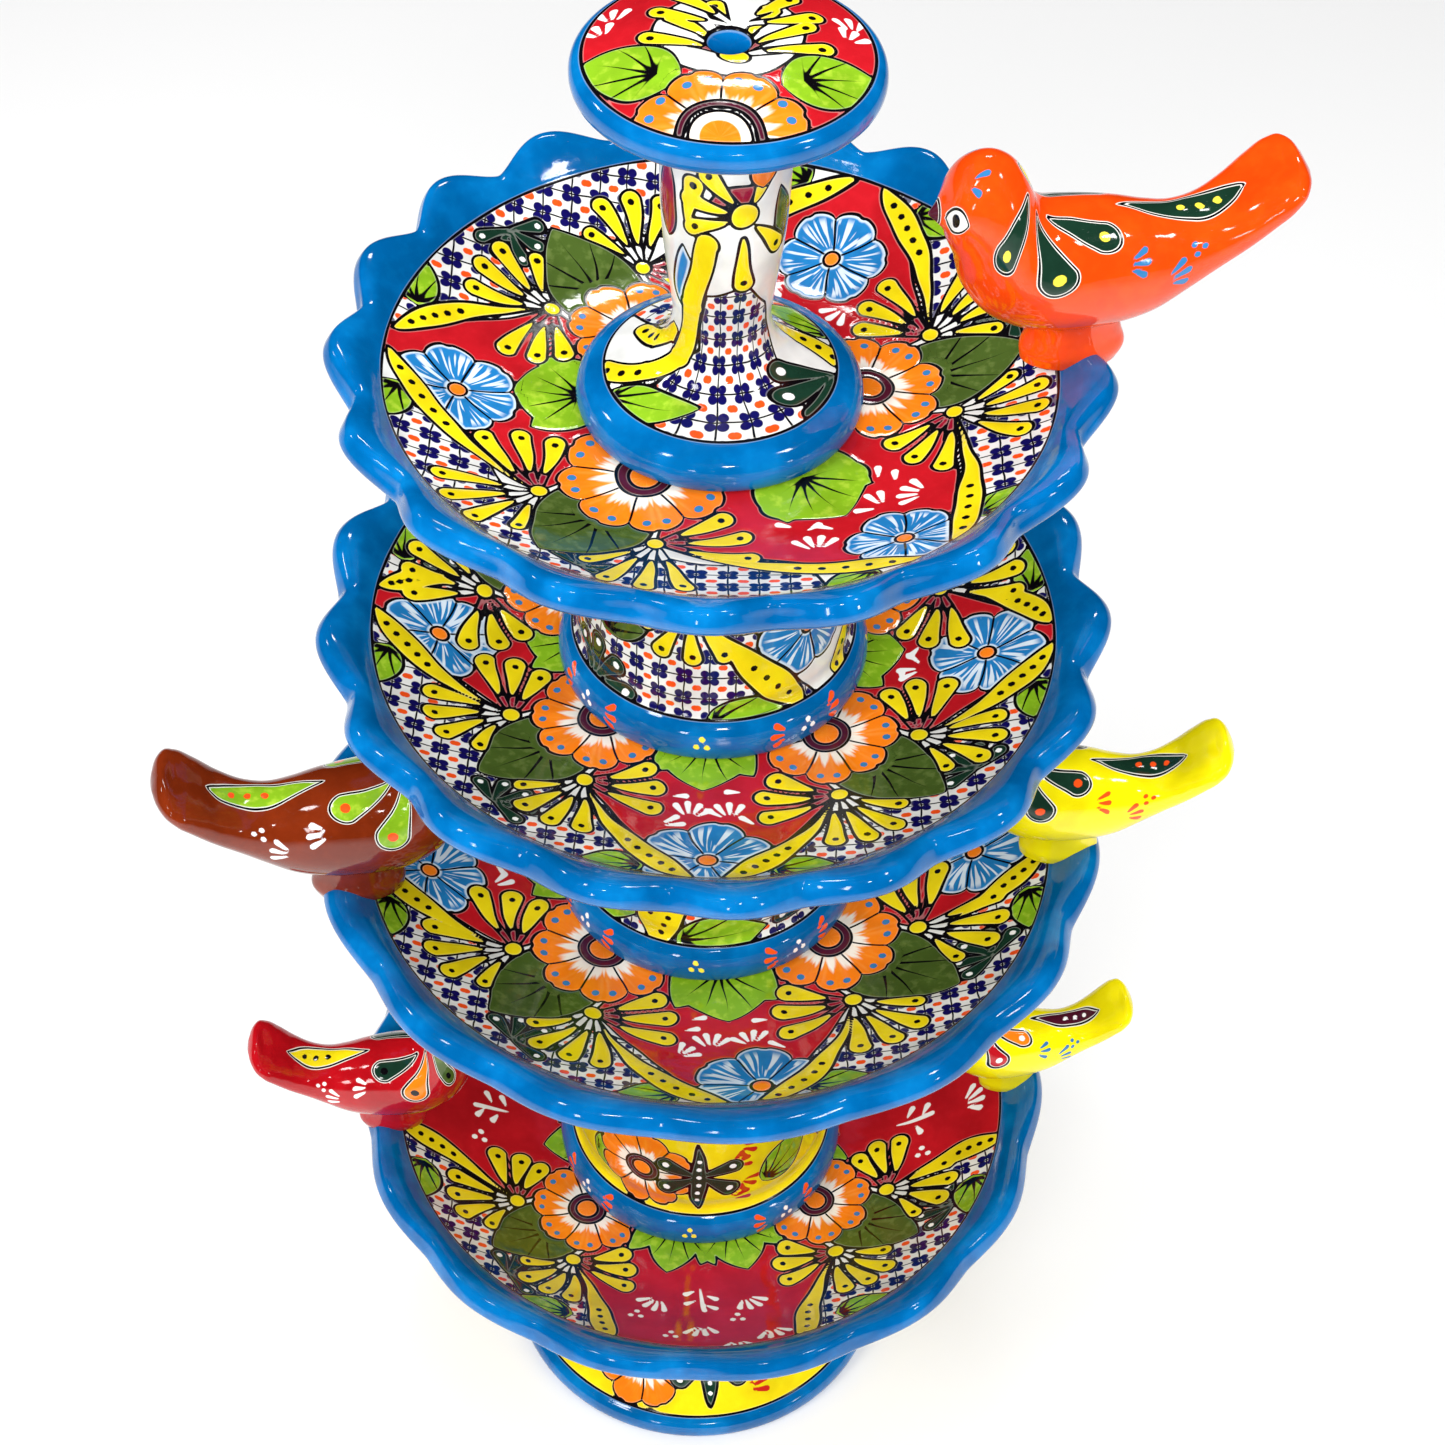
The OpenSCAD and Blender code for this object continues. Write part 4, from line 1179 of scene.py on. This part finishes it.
def painted_glaze():
    """Inputs: Ground colour, Line half width in mm, Halo beside the line. See the note above."""
    group = bpy.data.node_groups.new("painted glaze", "ShaderNodeTree")
    face = group.interface
    face.new_socket("Ground", in_out="INPUT", socket_type="NodeSocketColor")
    face.new_socket("Line", in_out="INPUT", socket_type="NodeSocketFloat").default_value = 0.85
    face.new_socket("Halo", in_out="INPUT", socket_type="NodeSocketFloat").default_value = 0.2
    face.new_socket("Color", in_out="OUTPUT", socket_type="NodeSocketColor")
    for name in ("Roughness", "Height"):
        face.new_socket(name, in_out="OUTPUT", socket_type="NodeSocketFloat")
    b = Bench(group)
    given = b.add("NodeGroupInput")
    place = b.add("ShaderNodeTexCoord").outputs["Object"]
    slow, streak, grain = b.noise(place, 26), b.noise(place, 150, 3), b.noise(place, 900, 2)
    fields = {g: b.field(g).outputs["Fac"] for g in GLAZES + MARKS}

    # how far the nearest edge is
    edge = None
    for g in GLAZES:
        if g not in ("under", "clay"):
            here = b.math("ABSOLUTE", fields[g])
            edge = here if edge is None else b.math("MINIMUM", edge, here)

    # polar place in the nearest flower or leaf
    heart = b.field("heart").outputs["Vector"]
    parts = b.add("ShaderNodeSeparateXYZ", {0: heart})
    u, v, size = parts.outputs
    rho = b.math("SQRT", b.math("ADD", b.math("MULTIPLY", u, u), b.math("MULTIPLY", v, v)))
    turn = b.math("ARCTAN2", v, u)
    share = b.math("DIVIDE", rho, b.math("MAXIMUM", size, 1.0))
    ray = b.add("ShaderNodeCombineXYZ", {0: b.math("COSINE", turn), 1: b.math("SINE", turn),
                                         2: b.math("MULTIPLY", share, 0.16)}).outputs[0]
    brush = b.noise(b.vector("SCALE", ray, scale=7.0), 1.0, 1.5)
    fine_brush = b.noise(b.vector("SCALE", ray, scale=11.0), 1.0, 0.5)

    def petals(count, start):
        """Line between petals: rho x 2/count x |sin(count x turn / 2)|, beyond the ring."""
        wave = b.math("ABSOLUTE", b.math("SINE", b.math("MULTIPLY", turn, count / 2)))
        gap = b.math("MULTIPLY", b.math("MULTIPLY", wave, rho), 2 / count)
        return b.math("MULTIPLY", b.fade(gap, 0.95, 0.45), b.fade(share, start, start + 0.03))

    # feathered orange petals
    feather = b.math("MULTIPLY", b.fade(b.math("ADD", share, b.math("MULTIPLY", brush, 0.55)), 0.86, 0.74),
                     b.fade(share, 0.2, 0.22))
    petal = b.tint(feather, PAINT["orange"], colour(250, 240, 226))
    petal = b.tint(b.math("MULTIPLY", b.fade(brush, 0.5, 0.75), 0.25), petal, colour(255, 176, 84))
    petal = b.tint(petals(8, 0.33), petal, PAINT["black"])
    # blue petals with white strokes and a pale edge
    reach = b.math("MULTIPLY", b.fade(share, 0.22, 0.30), b.fade(share, 0.92, 0.74))
    stroke = b.math("MULTIPLY", b.fade(fine_brush, 0.53, 0.60), reach)
    halo = b.math("MULTIPLY", b.fade(edge, 3.0, 1.6), 0.75)
    pale = b.math("MAXIMUM", b.math("MULTIPLY", stroke, 0.9), halo)
    bluebell = b.tint(pale, PAINT["sky"], colour(226, 240, 250))
    bluebell = b.tint(petals(6, 0.16), bluebell, PAINT["black"])
    # veins
    wave = b.math("ABSOLUTE", b.math("SINE", b.math("MULTIPLY", turn, 7)))
    gap = b.math("MULTIPLY", b.math("MULTIPLY", wave, rho), 1 / 7)
    end = b.math("ADD", 0.42, b.math("MULTIPLY", brush, 0.7))
    taper = b.math("MULTIPLY", b.math("SUBTRACT", end, share), 1.6)
    forward = b.math("MULTIPLY", b.fade(b.math("ABSOLUTE", turn), 1.35, 1.2), b.fade(size, 2.0, 5.0))
    vein = b.math("MULTIPLY", b.fade(b.math("SUBTRACT", gap, taper), 0.25, -0.15), forward)
    sheet = b.add("ShaderNodeUVMap", uv_map="Pattern").outputs[0]
    unsteady = b.add("ShaderNodeTexNoise", {"Vector": place, "Scale": 60.0, "Detail": 1.0}).outputs[1]
    wobble = b.vector("SCALE", unsteady, scale=0.16)
    tile = b.vector("ADD", b.vector("SCALE", sheet, scale=1000 / CELL), wobble)
    cell = b.vector("SUBTRACT", b.vector("FRACTION", tile), (0.5, 0.5, 0.5))
    flat_cell = b.vector("MULTIPLY", cell, (1, 1, 0))
    petal4 = b.vector("LENGTH", b.vector("SUBTRACT", b.vector("ABSOLUTE", flat_cell), (0.178, 0.178, 0)))
    shifted = b.vector("FRACTION", b.vector("ADD", tile, (0.5, 0.5, 0)))
    other = b.vector("MULTIPLY", b.vector("SUBTRACT", shifted, (0.5, 0.5, 0.5)), (1, 1, 0))
    cx, cy, _ = b.add("ShaderNodeSeparateXYZ", {0: b.vector("ABSOLUTE", flat_cell)}).outputs
    ox, oy, _ = b.add("ShaderNodeSeparateXYZ", {0: b.vector("ABSOLUTE", other)}).outputs
    off = b.add("ShaderNodeCombineXYZ", {0: b.math("SUBTRACT", ox, 0.05), 1: oy}).outputs[0]
    corner = b.vector("LENGTH", off)
    check = b.tint(b.fade(b.math("MINIMUM", cx, cy), 0.045, 0.02), PAINT["chalk"], PAINT["black"])
    check = b.tint(b.fade(corner, 0.150, 0.120), check, PAINT["coral"])
    check = b.tint(b.fade(petal4, 0.182, 0.155), check, PAINT["navy"])

    # lay the colours
    paint = given.outputs["Ground"]
    for g in GLAZES:
        shade = {"orange": petal, "sky": bluebell, "check": check}.get(g, PAINT.get(g))
        if g in ("lime", "olive"):
            light = colour(176, 208, 60) if g == "lime" else colour(98, 116, 58)
            shade = b.tint(b.math("MULTIPLY", b.fade(streak, 0.48, 0.7), 0.55), shade, light)
            shade = b.tint(vein, shade, PAINT["black"])
        elif g == "under":
            # the underside: its own olive glaze, made darker as painted shade under the rim, with a
            # yellow-olive and dark green mottle that is partly painted reflection of the painting below
            shade = b.tint(b.fade(b.noise(place, 40, 4, 0.65), 0.40, 0.62), shade, colour(176, 156, 60))
            shade = b.tint(b.fade(b.noise(place, 75, 3), 0.56, 0.66), shade, colour(58, 74, 34))
        elif g == "rim":
            shade = b.tint(b.math("MULTIPLY", b.fade(slow, 0.45, 0.7), 0.5), shade, colour(8, 120, 188))
        paint = b.tint(b.fade(fields[g], 0.12, -0.12), paint, shade)
    # pooled and thin glaze
    thin = b.math("MULTIPLY", b.fade(streak, 0.42, 0.72), 0.16)
    paint = b.tint(thin, paint, (1, 1, 1, 1), "SOFT_LIGHT")
    pooled = b.math("MULTIPLY", b.fade(slow, 0.62, 0.34), 0.28)
    paint = b.tint(pooled, paint, (0.30, 0.27, 0.27, 1), "MULTIPLY")
    for m in MARKS:
        paint = b.tint(b.fade(fields[m], 0.42, -0.1), paint, PAINT[m])
    wide = b.math("ADD", given.outputs["Line"], b.math("MULTIPLY", b.math("SUBTRACT", slow, 0.5), 0.9))
    past = b.math("SUBTRACT", edge, wide)
    beside = b.math("MULTIPLY", b.fade(past, 0.75, 0.3), given.outputs["Halo"])
    paint = b.tint(beside, paint, colour(240, 240, 232))
    ink = b.fade(past, 0.18, -0.12)
    paint = b.tint(ink, paint, PAINT["black"])

    bare = b.fade(fields["clay"], 0.3, -0.3)
    pits = b.fade(grain, 0.66, 0.74)
    rough = b.math("ADD", 0.03, b.math("MULTIPLY", streak, 0.07))
    rough = b.math("MAXIMUM", rough, b.math("MULTIPLY", ink, 0.16))
    rough = b.math("MAXIMUM", rough, b.math("MULTIPLY", bare, 0.82))
    bead = b.math("MULTIPLY", b.fade(edge, 0.2, 3.2), 0.20)
    waves = b.math("ADD", b.math("MULTIPLY", slow, 0.42), b.math("MULTIPLY", streak, 0.07))
    rougher = b.math("MULTIPLY", b.math("MULTIPLY", grain, bare), 0.35)
    raised = b.math("ADD", b.math("ADD", bead, waves), rougher)
    height = b.math("SUBTRACT", raised, b.math("MULTIPLY", pits, 0.03))
    b.add("NodeGroupOutput", {"Color": paint, "Roughness": rough, "Height": height})
    return group


GLAZE_GROUP = painted_glaze()
print("painted glaze nodes:", len(GLAZE_GROUP.nodes))

# %% Glaze materials
def glaze(name, ground, line=0.85, halo=0.15):
    """The group's colour and roughness on a glassy shader; the height, in mm, drives a bump."""
    material = bpy.data.materials.new(name)
    material.use_nodes = True
    material.node_tree.nodes.clear()
    b = Bench(material.node_tree)
    paint = b.add("ShaderNodeGroup", node_tree=GLAZE_GROUP)
    paint.inputs["Ground"].default_value = ground
    paint.inputs["Line"].default_value = line
    paint.inputs["Halo"].default_value = halo
    bump = b.add("ShaderNodeBump", {"Strength": 1.0, "Distance": 0.001, "Height": paint.outputs["Height"]})
    shader = b.add("ShaderNodeBsdfPrincipled", {
        "Base Color": paint.outputs["Color"], "Roughness": paint.outputs["Roughness"],
        "Normal": bump.outputs[0], "IOR": 1.52})
    b.add("ShaderNodeOutputMaterial", {"Surface": shader.outputs[0]})
    return material


white_glaze = glaze("white painted glaze", PAINT["chalk"])
for obj in list(bpy.context.scene.objects):
    if obj.name.endswith("_glazed") and not obj.name.startswith("bird"):
        obj.data.materials.append(white_glaze)
BIRD_GROUNDS = {"bird_orange": colour(240, 72, 10), "bird_brown": colour(120, 40, 12),
                "bird_yellow": colour(248, 232, 10), "bird_red": colour(176, 14, 24),
                "bird_small_yellow": colour(248, 232, 10)}
for name, pair in bird_objects.items():
    material = glaze(name.replace("bird_", "") + " bird glaze", BIRD_GROUNDS[name], 0.6, 0.9)
    for piece in pair:
        piece.data.materials.append(material)

# %% [markdown]
# ## The pump, its tube and the rubber parts
# Inside the lower drum sits a small pump that pushes water up a clear tube.
# These pieces keep the solid model's shapes. Moulded plastic has a fine spark
# texture, rubber is duller, the shaft is a smooth ceramic pin and the rotor a
# sintered magnet, so one texture group serves them all with its own values.

# %% Moulded and rubber surfaces
def moulded_surface():
    """Colour varied by noise, a grainy height and a roughness that wanders."""
    group = bpy.data.node_groups.new("moulded surface", "ShaderNodeTree")
    face = group.interface
    for name, kind in (("Tone", "Color"), ("Worn", "Color")):
        face.new_socket(name, in_out="INPUT", socket_type="NodeSocket" + kind)
    for name, value in (("Grain", 900.0), ("Depth", 0.05), ("Base", 0.4)):
        face.new_socket(name, in_out="INPUT", socket_type="NodeSocketFloat").default_value = value
    face.new_socket("Color", in_out="OUTPUT", socket_type="NodeSocketColor")
    for name in ("Roughness", "Height"):
        face.new_socket(name, in_out="OUTPUT", socket_type="NodeSocketFloat")
    b = Bench(group)
    given = b.add("NodeGroupInput")
    place = b.add("ShaderNodeTexCoord").outputs["Object"]
    fine = b.noise(place, given.outputs["Grain"], 3, 0.6)
    cloud = b.noise(place, 55, 3)
    amount = b.math("MULTIPLY", b.fade(cloud, 0.45, 0.75), 0.5)
    paint = b.tint(amount, given.outputs["Tone"], given.outputs["Worn"])
    rough = b.math("ADD", given.outputs["Base"], b.math("MULTIPLY", b.math("SUBTRACT", cloud, 0.5), 0.25))
    height = b.math("MULTIPLY", fine, given.outputs["Depth"])
    b.add("NodeGroupOutput", {"Color": paint, "Roughness": rough, "Height": height})
    return group


MOULDED = moulded_surface()


def moulded(name, tone, worn, base, grain=900.0, depth=0.05, **shader_values):
    """A material from the moulded group, with constants on the shader's own sockets."""
    material = bpy.data.materials.new(name)
    material.use_nodes = True
    material.node_tree.nodes.clear()
    b = Bench(material.node_tree)
    surface = b.add("ShaderNodeGroup", node_tree=MOULDED)
    for key, value in (("Tone", tone), ("Worn", worn), ("Grain", grain), ("Depth", depth), ("Base", base)):
        surface.inputs[key].default_value = value
    bump = b.add("ShaderNodeBump", {"Strength": 1.0, "Distance": 0.001, "Height": surface.outputs["Height"]})
    values = {"Base Color": surface.outputs["Color"], "Roughness": surface.outputs["Roughness"],
              "Normal": bump.outputs[0]}
    values.update({key.replace("_", " "): value for key, value in shader_values.items()})
    shader = b.add("ShaderNodeBsdfPrincipled", values)
    b.add("ShaderNodeOutputMaterial", {"Surface": shader.outputs[0]})
    return material


HIDDEN = {
    "water_tube": moulded("clear tube", colour(226, 238, 240), colour(206, 222, 214), 0.12, 200, 0.02,
                          Transmission_Weight=0.85, IOR=1.45),
    "tube_collar": moulded("collar rubber", colour(34, 34, 36), colour(58, 57, 56), 0.72, 1400, 0.06),
    "pump_housing": moulded("pump plastic", colour(26, 27, 31), colour(44, 45, 50), 0.42, 1600, 0.04),
    "pump_cover": moulded("cover plastic", colour(36, 37, 42), colour(58, 59, 64), 0.46, 1600, 0.05),
    "pump_shaft": moulded("shaft ceramic", colour(234, 232, 224), colour(214, 210, 200), 0.18, 500, 0.01),
    "pump_impeller": moulded("rotor magnet", colour(66, 66, 70), colour(92, 90, 90), 0.5, 1200, 0.07,
                             Metallic=0.4),
    "flow_dial": moulded("dial plastic", colour(196, 196, 190), colour(170, 170, 162), 0.4, 1500, 0.04),
    "pump_foot": moulded("foot rubber", colour(28, 28, 30), colour(48, 47, 47), 0.78, 1200, 0.06)}
for node_name, obj in frame["nodes"].items():
    for start, material in HIDDEN.items():
        if node_name.startswith(start):
            for slot in obj.material_slots:
                slot.material = material
            if not obj.material_slots:
                obj.data.materials.append(material)
print("hidden pieces finished")

# %% [markdown]
# ## Floor and light
# A plain pale floor catches a soft shadow. Wide soft lights stand at both
# sides and overhead, and a few small bright ones leave the crisp highlights
# that a glassy glaze shows on every crest.

# %% Floor
def floor(size=14.0, cells=24):
    """A flat square sheet, at a fifth of a millimetre below zero everywhere."""
    line = np.linspace(-size/2, size/2, cells + 1)
    X, Y = np.meshgrid(line, line)
    V = np.stack([X, Y, 0*X - 0.0002], -1).reshape(-1, 3)
    i, j = np.meshgrid(np.arange(cells), np.arange(cells), indexing="ij")
    a = (i*(cells+1) + j).ravel()
    F = np.stack([a, a+1, a+cells+2, a+cells+1], -1)
    mesh = bpy.data.meshes.new("floor")
    mesh.from_pydata(V.tolist(), [], F.tolist())
    obj = bpy.data.objects.new("floor", mesh)
    bpy.context.scene.collection.objects.link(obj)
    material = bpy.data.materials.new("pale floor")
    material.use_nodes = True
    shader = material.node_tree.nodes["Principled BSDF"]
    shader.inputs["Base Color"].default_value = (0.88, 0.88, 0.88, 1)
    shader.inputs["Roughness"].default_value = 0.9
    shader.inputs["Specular IOR Level"].default_value = 0.1
    mesh.materials.append(material)
    return obj


floor()

# %% Lights
def soft_light(name, place, aim, size, watts):
    """A square lamp at a place, turned to face a point."""
    lamp = bpy.data.lights.new(name, "AREA")
    lamp.shape = "RECTANGLE"
    lamp.size, lamp.size_y = size
    lamp.energy = watts
    obj = bpy.data.objects.new(name, lamp)
    bpy.context.scene.collection.objects.link(obj)
    obj.location = place
    obj.rotation_euler = (Vector(aim) - Vector(place)).to_track_quat("-Z", "Y").to_euler()
    return obj


middle = (0, 0, 0.6)
SOFT = [("left", (-2.3, -1.9, 2.4), (1.2, 1.6), 56), ("right", (2.4, -1.4, 2.6), (1.2, 1.6), 28),
        ("overhead", (-0.3, 0.5, 3.6), (1.6, 1.6), 30), ("front", (-0.2, -2.4, 2.9), (1.4, 1.0), 48)]
WINDOWS = [("left", (-1.3, -1.2, 3.0), (0.30, 0.42), 8), ("right", (1.5, -0.6, 2.9), (0.26, 0.36), 8),
           ("far", (0.1, 1.6, 2.9), (0.5, 0.16), 6), ("low", (-0.9, -2.8, 1.5), (0.2, 0.5), 5),
           ("lamp", (0.4, -2.6, 3.0), (0.34, 0.14), 7), ("side", (2.6, -1.9, 1.6), (0.2, 0.3), 4),
           ("back", (-1.9, 0.6, 2.4), (0.3, 0.2), 5)]
for name, place, size, watts in SOFT:
    soft_light("soft " + name, place, middle, size, watts).visible_glossy = False
for name, place, size, watts in WINDOWS:
    soft_light("window " + name, place, middle, size, watts)
print("lights:", len(SOFT) + len(WINDOWS))

# paints keep their strength with the plain view transform
bpy.context.scene.view_settings.view_transform = "Standard"
world = bpy.data.worlds.new("pale room")
world.use_nodes = True
world.node_tree.nodes["Background"].inputs[0].default_value = (1, 1, 1, 1)
world.node_tree.nodes["Background"].inputs[1].default_value = 0.50
bpy.context.scene.world = world
world.cycles_visibility.glossy = False
